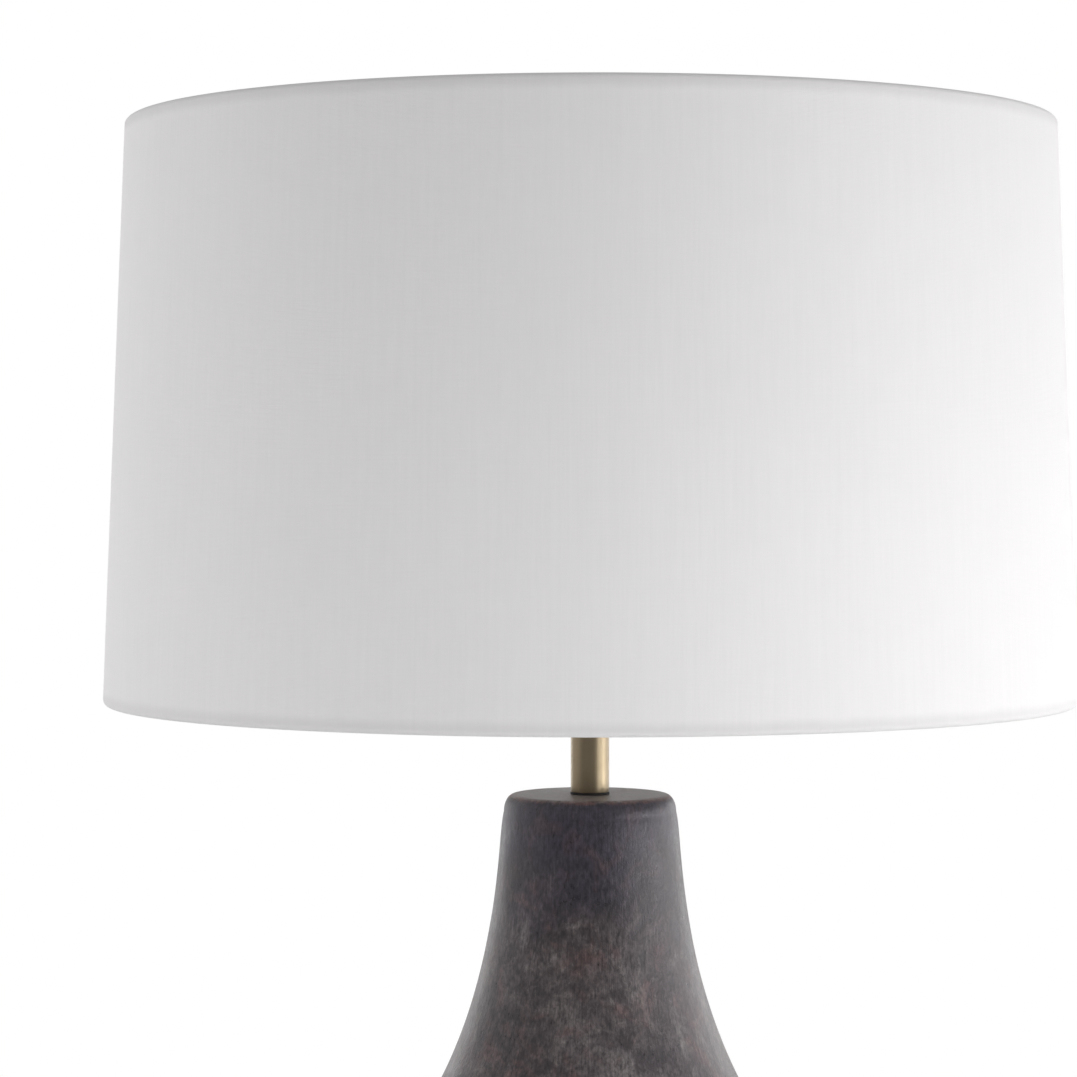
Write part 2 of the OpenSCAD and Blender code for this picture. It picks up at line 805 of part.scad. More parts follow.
// The fabric is one sheet: up the outside, over the top wire, and under the bottom wire
module shade_fabric() {
    inner_top = top_wire_z - hem_reach;
    inner_bottom = bottom_wire_z + hem_reach;
    tuck_x = -hem_outer_r;
    outer = concat(
        roll(hem_outer_r, bottom_wire_r, bottom_wire_z, -1),
        roll(hem_outer_r, top_wire_r, top_wire_z, 1)
    );
    inner = concat(
        roll(hem_inner_r, bottom_wire_r, bottom_wire_z, -1),
        roll(hem_inner_r, top_wire_r, top_wire_z, 1)
    );
    color("#efedec")
    difference() {
        rotate_extrude()
            polygon(concat(
                [[wire_line_r(inner_bottom) + tuck_x, inner_bottom]],
                outer,
                [[wire_line_r(inner_top) + tuck_x, inner_top],
                 [wire_line_r(inner_top) + tuck_x + sheet_t, inner_top]],
                [for (i = [len(inner) - 1 : -1 : 0]) inner[i]],
                [[wire_line_r(inner_bottom) + tuck_x + sheet_t, inner_bottom]]
            ));
        // Notches where the spider's arms come through the roll
        for (a = arm_angles)
            rotate([0, 0, a])
                translate([top_wire_r - 9, -arm_r - 0.4, top_wire_z - 9])
                    cube([9, 2 * arm_r + 0.8, 9 + hem_inner_r * 0.6]);
    }
}

module finial() {
    z = seat_z + hub_t;
    neck = 3.4;
    ball_z = z + finial_h - finial_ball_r;
    color("#8d7a55")
    difference() {
        union() {
            rotate_extrude()
                polygon([
                    [0, z], [7.4, z], [8, z + 0.6], [8, z + 2], [7.2, z + 2.8],
                    [5.4, z + 3.6], [4.6, z + 5.4], [neck + 0.6, z + 9],
                    [neck + 0.9, z + 11], [neck + 2.2, z + 12.2], [0, z + 13]
                ]);
            translate([0, 0, ball_z]) sphere(r = finial_ball_r);
        }
        translate([0, 0, z - 1]) cylinder(r = thread_r + run_fit, h = 13.5);
    }
}

lamp_body();
felt_pad();
clamp_gasket();
clamp_plate();
lock_washer();
pipe_nut();
threaded_pipe();
cord_grommet();
neck_gasket();
neck_tube();
neck_centering_rings();
neck_cap_washer();
harp_saddle();
saddle_locknut();
socket_cap();
cap_set_screw();
socket_shell();
insulating_sleeve();
socket_interior();
screw_shell();
centre_contact();
terminal_screws();
switch_shaft();
switch_knob();
bulb_glass();
bulb_cap();
bulb_insulator();
bulb_contact();
bulb_stem();
bulb_filament();
harp();
harp_stud();
ferrule_left();
ferrule_right();
spider();
shade_top_wire();
shade_bottom_wire();
shade_liner();
shade_fabric();
finial();
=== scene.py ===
import bmesh
import bpy
import json
import math
from math import cos, pi, radians, sin
from mathutils import Matrix, Vector
from mathutils import noise as perlin


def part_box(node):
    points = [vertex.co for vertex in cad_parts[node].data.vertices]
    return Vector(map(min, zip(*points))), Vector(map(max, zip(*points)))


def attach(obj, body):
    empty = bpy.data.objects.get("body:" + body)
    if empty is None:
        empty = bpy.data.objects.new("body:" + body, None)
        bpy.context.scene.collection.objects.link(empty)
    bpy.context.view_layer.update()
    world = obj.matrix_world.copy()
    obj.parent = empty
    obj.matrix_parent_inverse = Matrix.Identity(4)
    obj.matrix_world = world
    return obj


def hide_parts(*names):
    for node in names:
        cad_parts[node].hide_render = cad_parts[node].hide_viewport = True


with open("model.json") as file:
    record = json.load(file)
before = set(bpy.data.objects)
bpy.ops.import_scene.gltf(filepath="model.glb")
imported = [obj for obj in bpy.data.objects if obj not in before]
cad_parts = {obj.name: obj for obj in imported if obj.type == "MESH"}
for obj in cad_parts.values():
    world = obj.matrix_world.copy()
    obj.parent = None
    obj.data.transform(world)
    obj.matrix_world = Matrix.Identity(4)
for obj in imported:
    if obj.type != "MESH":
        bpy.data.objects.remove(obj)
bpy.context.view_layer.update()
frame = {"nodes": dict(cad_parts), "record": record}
slots = {row["node"]: row["material_slot"] for row in frame["record"]["subparts"]}
MM = 0.001


def low(node):
    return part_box(node)[0] / MM


def high(node):
    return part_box(node)[1] / MM


shade_lo, shade_hi = low("shade_fabric"), high("shade_fabric")
top = high("lamp_body").z

# ---- camera

scene = bpy.context.scene
cam_data = bpy.data.cameras.new("camera")
cam_data.sensor_width = 36
cam_data.lens = 115.37
cam_data.clip_start = 0.05
cam_data.clip_end = 60
camera = bpy.data.objects.new("camera", cam_data)
camera.location = (-0.0201, -1.8129, 0.57915)
YAW, PITCH = -0.00385, 0.01919
look = Vector((sin(YAW) * cos(PITCH), cos(YAW) * cos(PITCH), -sin(PITCH)))
camera.rotation_mode = "QUATERNION"
camera.rotation_quaternion = look.to_track_quat("-Z", "Y")
scene.collection.objects.link(camera)
scene.camera = camera

# ---- node helpers


class Nodes:
    """A node tree, with short ways to add to it."""

    def __init__(self, tree):
        self.tree = tree
        self.coord = self.add("TexCoord")

    def add(self, kind, inputs=None, **props):
        node = self.tree.nodes.new("ShaderNode" + kind)
        for key, value in props.items():
            setattr(node, key, value)
        for key, value in (inputs or {}).items():
            self.put(node.inputs[key], value)
        return node

    def put(self, socket, value):
        """Links a socket to another, or sets it to a constant."""
        if isinstance(value, bpy.types.NodeSocket):
            self.tree.links.new(value, socket)
        else:
            socket.default_value = value

    def place(self, scale, stretch, uv, at=(0, 0, 0)):
        """Object or unrolled space, at scale features per metre."""
        out = self.coord.outputs["UV" if uv else "Object"]
        return self.add("Mapping", {
            "Vector": out, "Scale": [scale * k for k in stretch], "Location": at}).outputs[0]

    def noise(self, scale, detail=4.0, rough=0.55, stretch=(1, 1, 1), uv=False, warp=0.0,
              at=(0, 0, 0)):
        return self.add("TexNoise", {
            "Vector": self.place(scale, stretch, uv, at), "Scale": 1.0, "Detail": detail,
            "Roughness": rough, "Distortion": warp}).outputs[0]

    def cells(self, scale):
        """Distance to the nearest point of a scattered pattern."""
        return self.add("TexVoronoi", {
            "Vector": self.place(scale, (1, 1, 1), False), "Scale": 1.0, "Randomness": 1.0}).outputs[0]

    def threads(self, per_metre, direction, warp):
        """Threads across the unrolled cloth. A wave of scale 1 has 20 / 2 pi bands to the unit."""
        return self.add("TexWave", {
            "Vector": self.place(per_metre, (1, 1, 1), True), "Scale": 2 * pi / 20,
            "Distortion": warp, "Detail": 1.0, "Detail Scale": 1.5}, bands_direction=direction).outputs[1]

    def spread(self, value, low, high, to_low=0.0, to_high=1.0, soft=False):
        """Maps low..high to to_low..to_high, clamped, with an eased run if soft."""
        node = self.add("MapRange", {0: value, 1: low, 2: high, 3: to_low, 4: to_high})
        if soft:
            node.interpolation_type = "SMOOTHSTEP"
        return node.outputs[0]

    def math(self, operation, a, b=0.0, c=0.0):
        return self.add("Math", {0: a, 1: b, 2: c}, operation=operation).outputs[0]

    def plus(self, a, b):
        return self.math("ADD", a, b)

    def times(self, a, b):
        return self.math("MULTIPLY", a, b)

    def height(self):
        """Metres above the lamp's foot."""
        return self.add("SeparateXYZ", {0: self.coord.outputs["Object"]}).outputs[2]

    def mix(self, factor, a, b, mode="MIX"):
        node = self.add("Mix", data_type="RGBA", blend_type=mode)
        self.put(node.inputs[0], factor)
        for socket, value in ((node.inputs[6], a), (node.inputs[7], b)):
            self.put(socket, value if isinstance(value, bpy.types.NodeSocket) else (*value[:3], 1))
        return node.outputs[2]

    def ramp(self, value, stops):
        node = self.add("ValToRGB", {0: value})
        marks = node.color_ramp.elements
        while len(marks) < len(stops):
            marks.new(0.5)
        for mark, (at, colour) in zip(marks, stops):
            mark.position = at
            mark.color = (*colour, 1)
        return node.outputs[0]


class Shader(Nodes):
    """A material's nodes."""

    def __init__(self, name):
        self.material = bpy.data.materials.new(name)
        self.material.use_nodes = True
        super().__init__(self.material.node_tree)
        self.bsdf = self.tree.nodes["Principled BSDF"]

    def set(self, **inputs):
        """Sets the surface's inputs, with _ for each space in a name."""
        for key, value in inputs.items():
            self.put(self.bsdf.inputs[key.replace("_", " ")], value)

    def bump(self, *layers):
        """layers are (height, depth in metres)."""
        normal = None
        for height, depth in layers:
            node = self.add("Bump", {"Height": height, "Strength": 1.0, "Distance": depth})
            if normal is not None:
                self.put(node.inputs["Normal"], normal)
            normal = node.outputs[0]
        self.put(self.bsdf.inputs["Normal"], normal)
        return self


def tint(colour, k):
    """A colour made k times as bright."""
    return tuple(min(1.0, c * k) for c in colour)


# ---- materials


def body_glaze():
    """A dark matt glaze, mottled in large and small patches, with fine streaks and grit, painted shade on
    the upper neck and a painted reflection on the flat top.
    """
    s = Shader("body_glaze")
    flat_top = top * MM
    neck_foot = flat_top - 0.095
    up = s.height()
    cloud = s.noise(46, 6, 0.62, (1, 1, 0.8), warp=0.9)
    patch = s.noise(17, 3, 0.5, (1, 1, 0.8), at=(3.1, 0.4, 1.7), warp=0.4)
    smudge = s.noise(95, 5, 0.66, (1, 1, 0.75), warp=0.7, at=(1.3, 4.2, 0.6))
    streak = s.noise(900, 3, 0.65, (1, 0.035, 1), uv=True)
    fleck = s.noise(210, 5, 0.7, (1, 1, 0.6), warp=0.5)
    grit = s.noise(560, 4, 0.7, (1, 1, 0.45), at=(2.2, 0.7, 3.3))
    rust = s.noise(52, 5, 0.62, at=(7.3, 2.2, 5.1), warp=1.0)
    # Painted shade: the upper neck, under the lampshade, is painted darker and smoother, with fewer pale
    # flecks, and it is lighter further down. The same mask makes the glaze more violet and less red
    # towards the top.
    fade = s.spread(up, neck_foot, neck_foot + 0.08, 0.0, 1.0, True)
    tone = s.math("MULTIPLY_ADD", patch, 0.26, s.times(smudge, 0.32))
    tone = s.math("MULTIPLY_ADD", cloud, 0.42, tone)
    # Painted shade: the tone drops towards the top, where the lampshade shades the neck
    tone = s.math("SUBTRACT", tone, s.times(fade, 0.13))
    colour = s.ramp(tone, [
        (0.34, (0.010, 0.0085, 0.009)),
        (0.44, (0.028, 0.0225, 0.0235)),
        (0.51, (0.058, 0.0475, 0.0475)),
        (0.58, (0.108, 0.095, 0.092)),
        (0.68, (0.185, 0.168, 0.160))])
    light = s.spread(fleck, 0.54, 0.70, 0.0, 0.5, True)
    # Painted shade: fewer pale flecks on the shaded upper neck
    light = s.times(light, s.spread(fade, 0.0, 1.0, 1.0, 0.22))
    light = s.times(light, s.spread(cloud, 0.42, 0.56, 0.15, 1.0))
    colour = s.mix(light, colour, (0.185, 0.170, 0.160))
    violet = s.spread(patch, 0.44, 0.58, 0.0, 0.7, True)
    violet = s.times(violet, s.spread(fade, 0.0, 1.0, 0.15, 1.0))
    colour = s.mix(violet, colour, (0.023, 0.020, 0.034))
    red = s.spread(rust, 0.50, 0.70, 0.0, 0.55, True)
    red = s.times(red, s.spread(fade, 0.0, 1.0, 1.0, 0.4))
    colour = s.mix(red, colour, (0.096, 0.052, 0.049))
    level = s.mix(1.0, s.coord.outputs["Object"], (1, 1, 0), "MULTIPLY")
    radius = s.add("VectorMath", {0: level}, operation="LENGTH").outputs[1]
    # The flat top is painted lighter, partly wear and partly a painted reflection of the bright shade and
    # backdrop, with a worn reddish line round its edge
    flat = s.spread(up, flat_top - 0.0015, flat_top - 0.0003, 0.0, 1.0, True)
    wear_and_sheen = s.mix(s.spread(cloud, 0.35, 0.62), (0.108, 0.087, 0.086), (0.215, 0.188, 0.183))
    # Painted reflection and wear: the flat top takes the lighter colour
    colour = s.mix(s.times(flat, 0.85), colour, wear_and_sheen)
    edge = s.math("ABSOLUTE", s.math("SUBTRACT", up, flat_top - 0.001))
    edge = s.spread(edge, 0.0, 0.0015, 1.0, 0.0, True)
    edge = s.times(edge, s.spread(s.noise(150, 4), 0.38, 0.62, 0.05, 0.85))
    edge = s.times(edge, s.spread(radius, 0.036, 0.040))
    colour = s.mix(edge, colour, (0.115, 0.056, 0.047))
    fine = s.spread(streak, 0.34, 0.66, 0.68, 1.28)
    fine = s.times(s.spread(grit, 0.34, 0.66, 0.4, 1.8), fine)
    colour = s.add("VectorMath", {0: colour, "Scale": fine}, operation="SCALE").outputs[0]
    rough = s.spread(cloud, 0.34, 0.66, 0.33, 0.47)
    rough = s.plus(rough, s.times(light, 0.25))
    rough = s.plus(rough, s.spread(grit, 0.3, 0.7, -0.10, 0.10))
    s.set(Base_Color=colour, Roughness=rough, Specular_IOR_Level=0.62, IOR=1.5,
          Specular_Tint=(0.98, 0.935, 1.0, 1), Coat_Weight=0.12, Coat_Roughness=0.28)
    return s.bump((cloud, 0.00035), (smudge, 0.0003), (fleck, 0.0003), (grit, 0.00018),
                  (streak, 0.00010))


def shade_cloth(name, base, weave=0.00008):
    """A plain weave with slubs, whose threads stand up by weave metres, with a painted shade band at
    either rim.
    """
    s = Shader(name)
    warp = s.noise(2400, 2, 0.5, (1, 0.02, 1), uv=True)
    weft = s.noise(2400, 2, 0.5, (0.02, 1, 1), uv=True)
    slub = s.noise(420, 3, 0.6, (1, 0.03, 1), uv=True)
    broad = s.noise(6, 3, 0.5, (1, 1, 1))
    threads = s.plus(s.times(s.threads(1700, "X", 0.6), 0.5),
                     s.times(s.threads(1700, "Y", 0.6), 0.5))
    tone = s.spread(broad, 0.3, 0.7, -0.008, 0.008)
    tone = s.plus(s.spread(slub, 0.3, 0.7, -0.010, 0.010), tone)
    tone = s.plus(tone, s.spread(warp, 0.3, 0.7, -0.006, 0.006))
    tone = s.plus(tone, s.spread(weft, 0.3, 0.7, -0.004, 0.004))
    tone = s.spread(tone, -0.05, 0.05, 0.0, 1.0)
    colour = s.mix(tone, tint(base, 0.95), tint(base, 1.05))
    # Painted shade: a soft darker band at either end, where the rim wires and the turned-in cloth would
    # block light coming through the cloth
    middle = (shade_lo.z + shade_hi.z) / 2 * MM
    half = (shade_hi.z - shade_lo.z) / 2 * MM
    off = s.math("ABSOLUTE", s.math("SUBTRACT", s.height(), middle))
    off = s.plus(off, s.spread(s.noise(55, 3, 0.5), 0.3, 0.7, -0.0006, 0.0006))
    painted_rim_shade = s.spread(off, half - 0.0085, half - 0.0030, 0.0, 0.115, True)
    # Painted shade: the rim band darkens the cloth's colour
    colour = s.mix(painted_rim_shade, colour, (0.12, 0.11, 0.12))
    s.set(Base_Color=colour, Roughness=0.86, Specular_IOR_Level=0.25,
          Sheen_Weight=0.12, Sheen_Roughness=0.5)
    return s.bump((threads, weave), (warp, weave * 0.8), (weft, weave * 0.8), (slub, weave * 0.6))


def brass(name, base, dark, rough, patina, uv=False, grain=0.00003):
    """Brushed brass, up to patina of the way to dark, brushed up the unrolled tube if uv."""
    s = Shader(name)
    cloud = s.noise(70, 4, 0.55, warp=0.5)
    fine = s.noise(520, 3, 0.5)
    if uv:
        brushed = s.noise(2600, 2, 0.6, (1, 0.015, 1), uv=True)
    else:
        brushed = s.noise(1500, 2, 0.6, (1, 1, 0.04))
    age = s.spread(cloud, 0.40, 0.66, 0.0, patina, True)
    age = s.times(age, s.spread(fine, 0.25, 0.7, 0.7, 1.0))
    colour = s.mix(age, base, dark)
    colour = s.mix(s.spread(brushed, 0.3, 0.7, 0.0, 0.25), colour, tint(base, 0.75))
    s.set(Base_Color=colour, Metallic=1.0,
          Roughness=s.spread(cloud, 0.3, 0.7, rough - 0.03, rough + 0.06))
    return s.bump((brushed, grain), (fine, grain * 0.25))


def metal(name, base, rough, grain=0.00003, spangle=0.0):
    """A plain metal with a fine grain, and zinc's spangles if asked for."""
    s = Shader(name)
    cloud = s.noise(180, 4, 0.6)
    fine = s.noise(1400, 3, 0.6)
    colour = s.mix(s.spread(cloud, 0.3, 0.7, 0.0, 1.0), tint(base, 0.84), tint(base, 1.1))
    if spangle:
        colour = s.mix(s.spread(s.cells(260), 0.0, 0.8, 0.0, spangle), colour, tint(base, 0.6))
    s.set(Base_Color=colour, Metallic=1.0,
          Roughness=s.spread(cloud, 0.3, 0.7, rough - 0.05, rough + 0.08))
    return s.bump((fine, grain))


def solid(name, base, rough, vary=0.06, grain=0.00004, scale=900, blotch=60, **more):
    """A non-metal whose tone varies by the share vary, in blotches and a fine grain."""
    s = Shader(name)
    cloud = s.noise(blotch, 4, 0.55)
    fine = s.noise(scale, 4, 0.6)
    mixed = s.math("MULTIPLY_ADD", cloud, 0.6, s.times(fine, 0.4))
    mixed = s.spread(mixed, 0.3, 0.7)
    s.set(Base_Color=s.mix(mixed, tint(base, 1 - vary), tint(base, 1 + vary)),
          Roughness=s.spread(fine, 0.3, 0.7, rough - 0.04, rough + 0.05), **more)
    return s.bump((fine, grain))


def felt():
    """Pressed dark wool, with hairs lying in two directions."""
    s = Shader("felt")
    hair = s.noise(2200, 5, 0.75, (1, 0.35, 1), warp=2.2)
    hair_b = s.noise(2400, 4, 0.75, (0.35, 1, 1), warp=2.0)
    clump = s.noise(160, 4, 0.6)
    tone = s.spread(s.plus(hair, hair_b), 0.75, 1.3)
    colour = s.mix(tone, (0.009, 0.009, 0.009), (0.036, 0.035, 0.035))
    colour = s.mix(s.spread(clump, 0.45, 0.7, 0.0, 0.3), colour, (0.045, 0.044, 0.043))
    s.set(Base_Color=colour, Roughness=0.95, Specular_IOR_Level=0.15, Sheen_Weight=0.5,
          Sheen_Roughness=0.6)
    return s.bump((hair, 0.0003), (hair_b, 0.0003), (clump, 0.0003))


def cardboard():
    s = Shader("cardboard")
    fibre = s.noise(900, 4, 0.65, (1, 1, 0.25), warp=0.8)
    blot = s.noise(90, 4, 0.6)
    colour = s.mix(s.spread(fibre, 0.3, 0.7), (0.40, 0.29, 0.155), (0.58, 0.45, 0.27))
    colour = s.mix(s.spread(blot, 0.5, 0.7, 0.0, 0.3), colour, (0.33, 0.22, 0.11))
    s.set(Base_Color=colour, Roughness=0.72)
    return s.bump((fibre, 0.00008))


def glass(name, tone, rough, transmission):
    s = Shader(name)
    haze = s.noise(70, 3, 0.5)
    s.set(Base_Color=s.mix(s.spread(haze, 0.3, 0.7), tint(tone, 0.97), tint(tone, 1.03)),
          Roughness=s.spread(haze, 0.3, 0.7, max(0.01, rough - 0.04), rough + 0.04),
          Transmission_Weight=transmission, IOR=1.46)
    return s.bump((s.noise(500, 3, 0.5), 0.00002))


shaders = {
    "body_glaze": body_glaze(),
    "felt": felt(),
    "rubber": solid("rubber", (0.022, 0.021, 0.020), 0.62, 0.2, 0.00004, 1200),
    "zinc_steel": metal("zinc_steel", (0.56, 0.57, 0.60), 0.34, spangle=0.35),
    "plain_brass": brass("plain_brass", (0.72, 0.52, 0.24), (0.42, 0.28, 0.12), 0.27, 0.4),
    "antique_brass": brass("antique_brass", (0.40, 0.315, 0.20), (0.17, 0.125, 0.075), 0.33, 0.55),
    "cardboard": cardboard(),
    "phenolic": solid("phenolic", (0.026, 0.019, 0.015), 0.36, 0.3, 0.00002, 1500,
                      Coat_Weight=0.2, Coat_Roughness=0.2),
    "frosted_glass": glass("frosted_glass", (0.93, 0.93, 0.92), 0.42, 0.3),
    "clear_glass": glass("clear_glass", (0.93, 0.96, 0.95), 0.06, 0.95),
    "cap_aluminium": metal("cap_aluminium", (0.74, 0.75, 0.76), 0.24, 0.00002),
    "black_glass": solid("black_glass", (0.010, 0.010, 0.012), 0.16, 0.3, 0.00003, 700,
                         Coat_Weight=0.4, Coat_Roughness=0.1),
    "solder_tin": metal("solder_tin", (0.60, 0.60, 0.61), 0.36, 0.0001),
    "tungsten": metal("tungsten", (0.30, 0.30, 0.31), 0.4),
    "white_enamel": solid("white_enamel", (0.78, 0.775, 0.755), 0.33, 0.03, 0.00006, 420,
                          Coat_Weight=0.25, Coat_Roughness=0.15),
    "styrene": solid("styrene", (0.84, 0.835, 0.82), 0.55, 0.02, 0.00003, 500, 14),
    "shade_fabric": shade_cloth("shade_fabric", (0.862, 0.852, 0.857)),
    # The neck in view is antique brass too, brushed finer and tarnished less
    "neck_brass": brass("neck_brass", (0.325, 0.262, 0.176), (0.262, 0.204, 0.128), 0.33, 0.25,
                        True, 0.000002),
}
materials = {slot: shader.material for slot, shader in shaders.items()}

# ---- shape helpers


# A part is (verts, faces, uvs): points in millimetres, faces, and a (u, v) in metres per corner

CREASE = 38
ON_AXIS = 1e-6


def mesh_object(name, part, unrolled=False, matrix=None):
    """An object in metres from a part, with its faces turned outwards."""
    verts, faces, uvs = part
    mesh = bpy.data.meshes.new(name)
    mesh.from_pydata([Vector(v) * MM for v in verts], [], faces)
    if unrolled:
        layer = mesh.uv_layers.new(name="unrolled")
        layer.data.foreach_set("uv", [x for uv in uvs for x in uv])
    if matrix:
        mesh.transform(matrix)
    bm = bmesh.new()
    bm.from_mesh(mesh)
    bmesh.ops.recalc_face_normals(bm, faces=bm.faces)
    bm.to_mesh(mesh)
    bm.free()
    obj = bpy.data.objects.new(name, mesh)
    scene.collection.objects.link(obj)
    return obj


def piece(name, part, body, replaces, material=None, unrolled=False, crease=CREASE, matrix=None):
    """A smooth visible piece, whose edges sharper than crease degrees stay sharp. It takes the material of
    the first CAD node it replaces, by that node's slot, unless another is named, and hides the nodes it
    replaces."""
    slot = slots[replaces[0]]
    obj = mesh_object(name, part, unrolled, matrix)
    obj.data.shade_smooth()
    obj.data.set_sharp_from_angle(angle=radians(crease))
    obj.data.materials.append(materials[material or slot])
    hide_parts(*replaces)
    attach(obj, body)
    return obj


def cut(obj, *cutters):
    """Subtracts parts from a piece."""
    for cutter in cutters:
        tool = mesh_object("cutter", cutter)
        mod = obj.modifiers.new("cut", "BOOLEAN")
        mod.operation = "DIFFERENCE"
        mod.solver = "EXACT"
        mod.object = tool
        bpy.context.view_layer.update()
        ready = obj.evaluated_get(bpy.context.evaluated_depsgraph_get())
        done = bpy.data.meshes.new_from_object(ready)
        obj.modifiers.clear()
        obj.data = done
        bpy.data.objects.remove(tool)
    obj.data.set_sharp_from_angle(angle=radians(CREASE))


def merged(*parts):
    """Several parts as one."""
    verts, faces, uvs = [], [], []
    for v, f, u in parts:
        start = len(verts)
        verts += v
        faces += [tuple(i + start for i in face) for face in f]
        uvs += u
    return verts, faces, uvs


def moved(part, matrix):
    return [matrix @ Vector(v) for v in part[0]], part[1], part[2]


def rounded(points, steps=4, loop=True):
    """An outline whose corners, given as (x, y, radius), are rounded. A pair keeps its corner, and
    so do both ends of a run that isn't a loop."""
    out = []
    for i, p in enumerate(points):
        if len(p) < 3 or p[2] <= 0 or (not loop and i in (0, len(points) - 1)):
            out.append((p[0], p[1]))
            continue
        here = Vector(p[:2])
        before = Vector(points[i - 1][:2]) - here
        after = Vector(points[(i + 1) % len(points)][:2]) - here
        reach = min(p[2], before.length * 0.45, after.length * 0.45)
        a = here + before.normalized() * reach
        b = here + after.normalized() * reach
        for k in range(steps + 1):
            t = k / steps
            q = a * (1 - t) ** 2 + here * 2 * t * (1 - t) + b * t * t
            out.append((q.x, q.y))
    return out


def revolve(outline, count=96, closed=True, shape=None, angles=None):
    """A turned part about Z, from (r, z) points with none repeated. shape(r, z, angle) may change
    a point."""
    angles = angles or [2 * pi * i / count for i in range(count)]
    count, m = len(angles), len(outline)
    mean = max(p[0] for p in outline) * MM
    run = [0.0]
    for i in range(m):
        p, q = outline[i], outline[(i + 1) % m]
        run.append(run[-1] + math.dist(p, q) * MM)
    verts, index = [], []
    for r, z in outline:
        if r < ON_AXIS:
            index.append([len(verts)] * count)
            verts.append((0, 0, z))
            continue
        index.append(range(len(verts), len(verts) + count))
        for a in angles:
            r2, z2 = shape(r, z, a) if shape else (r, z)
            verts.append((r2 * cos(a), r2 * sin(a), z2))
    faces, uvs = [], []
    for j in range(m if closed else m - 1):
        k = (j + 1) % m
        if outline[j][0] < ON_AXIS and outline[k][0] < ON_AXIS:
            continue
        for i in range(count):
            n = (i + 1) % count
            u0 = angles[i] * mean
            u1 = (angles[n] + (2 * pi if n == 0 else 0)) * mean
            corners = [(index[j][i], u0, run[j]), (index[j][n], u1, run[j]),
                       (index[k][n], u1, run[j + 1]), (index[k][i], u0, run[j + 1])]
            face, uv = [], []
            for c, u, v in corners:
                if c not in face:
                    face.append(c)
                    uv.append((u, v))
            faces.append(tuple(face))
            uvs += uv
    return verts, faces, uvs


def bent_path(x, z, heading, steps, fine=6):
    """Points of a bent wire in the XZ plane. heading is from +Z towards +X, in degrees. Each step
    is (length, 0) or (bend radius, angle)."""
    path = [(x, z)]
    h = radians(heading)
    for size, angle in steps:
        if angle == 0:
            count = max(1, int(size / 12))
            step = size / count
            for i in range(count):
                path.append((path[-1][0] + step * sin(h), path[-1][1] + step * cos(h)))
            continue
        count = max(fine, int(abs(angle) / 5))
        turn = radians(angle) / count
        chord = 2 * size * sin(abs(turn) / 2)
        for i in range(count):
            h += turn / 2
            path.append((path[-1][0] + chord * sin(h), path[-1][1] + chord * cos(h)))
            h += turn / 2
    return path


def sweep(path, section, side=(0, 1, 0)):
    """A closed solid along a path. section(i, count) gives the cross-section's (across, up) points
    at the path's point i, where across is along side and up is square to it and to the path."""
    path = [Vector(p) for p in path]
    n = len(path)
    verts, rings = [], []
    for i, p in enumerate(path):
        way = path[min(i + 1, n - 1)] - path[max(i - 1, 0)]
        way.normalize()
        across = Vector(side) - way * way.dot(Vector(side))
        across.normalize()
        up = across.cross(way)
        points = section(i, n)
        rings.append(range(len(verts), len(verts) + len(points)))
        verts += [tuple(p + across * a + up * b) for a, b in points]
    faces = []
    m = len(rings[0])
    for here, there in zip(rings, rings[1:]):
        faces += [(here[j], here[(j + 1) % m], there[(j + 1) % m], there[j]) for j in range(m)]
    faces += [tuple(rings[0]), tuple(rings[-1])]
    return verts, faces, []


def oval(a, b, power=2.0, count=24):
    """Cross-section from round (power 2) to nearly a rectangle (power 8)."""
    points = []
    for i in range(count):
        t = 2 * pi * (i + 0.5) / count
        points.append((a * math.copysign(abs(cos(t)) ** (2 / power), cos(t)),
                       b * math.copysign(abs(sin(t)) ** (2 / power), sin(t))))
    return points


def wire(path, r, count=20, end=0.35, side=(0, 1, 0)):
    """A round wire whose ends are chamfered by end."""
    path = [Vector(p) for p in path]
    a = (path[0] - path[1]).normalized()
    b = (path[-1] - path[-2]).normalized()
    path = [path[0], path[0] - a * end] + path[1:-1] + [path[-1] - b * end, path[-1]]

    def section(i, n):
        reach = r - end if i in (0, n - 1) else r
        return oval(reach, reach, 2.0, count)
    return sweep(path, section, side)


def box_part(x0, x1, y0, y1, z0, z1):
    v = [(x, y, z) for x in (x0, x1) for y in (y0, y1) for z in (z0, z1)]
    f = [(0, 1, 3, 2), (4, 6, 7, 5), (0, 4, 5, 1), (2, 3, 7, 6), (0, 2, 6, 4), (1, 5, 7, 3)]
    return v, f, []


def thread(base, depth, pitch, z0, z1, fade=1.2):
    """A shape for revolve: a rounded helical thread between two heights, on radius base."""
    def shape(r, z, a):
        if r < base - 0.02 or not z0 <= z <= z1:
            return r, z
        inside = min(1.0, (z - z0) / fade, (z1 - z) / fade)
        phase = ((z - z0) / pitch - a / (2 * pi)) % 1.0
        return r + depth * inside * (0.5 + 0.5 * cos(2 * pi * phase)) ** 0.9, z
    return shape


def smooth_step(x):
    x = min(1.0, max(0.0, x))
    return x * x * (3 - 2 * x)


def ladder(r, z0, z1, step):
    """Points up a straight wall, about step apart."""
    count = max(1, int(round((z1 - z0) / step)))
    return [(r, z0 + (z1 - z0) * i / count) for i in range(count + 1)]


def arc(x, z, r, a0, a1, count):
    """count + 1 points on an arc about (x, z), between two angles in radians."""
    angles = [a0 + (a1 - a0) * k / count for k in range(count + 1)]
    return [(x + r * cos(a), z + r * sin(a)) for a in angles]


def lifted(points, z):
    """An outline's points, moved up by z."""
    return [(p[0], p[1] + z, *p[2:]) for p in points]


def turn(angle, axis="Z"):
    return Matrix.Rotation(radians(angle), 4, axis)


def shift(x, y, z):
    return Matrix.Translation((x, y, z))


TO_FRONT = turn(90, "X")
TO_BACK = turn(-90, "X")

# ---- dimensions, from the frame

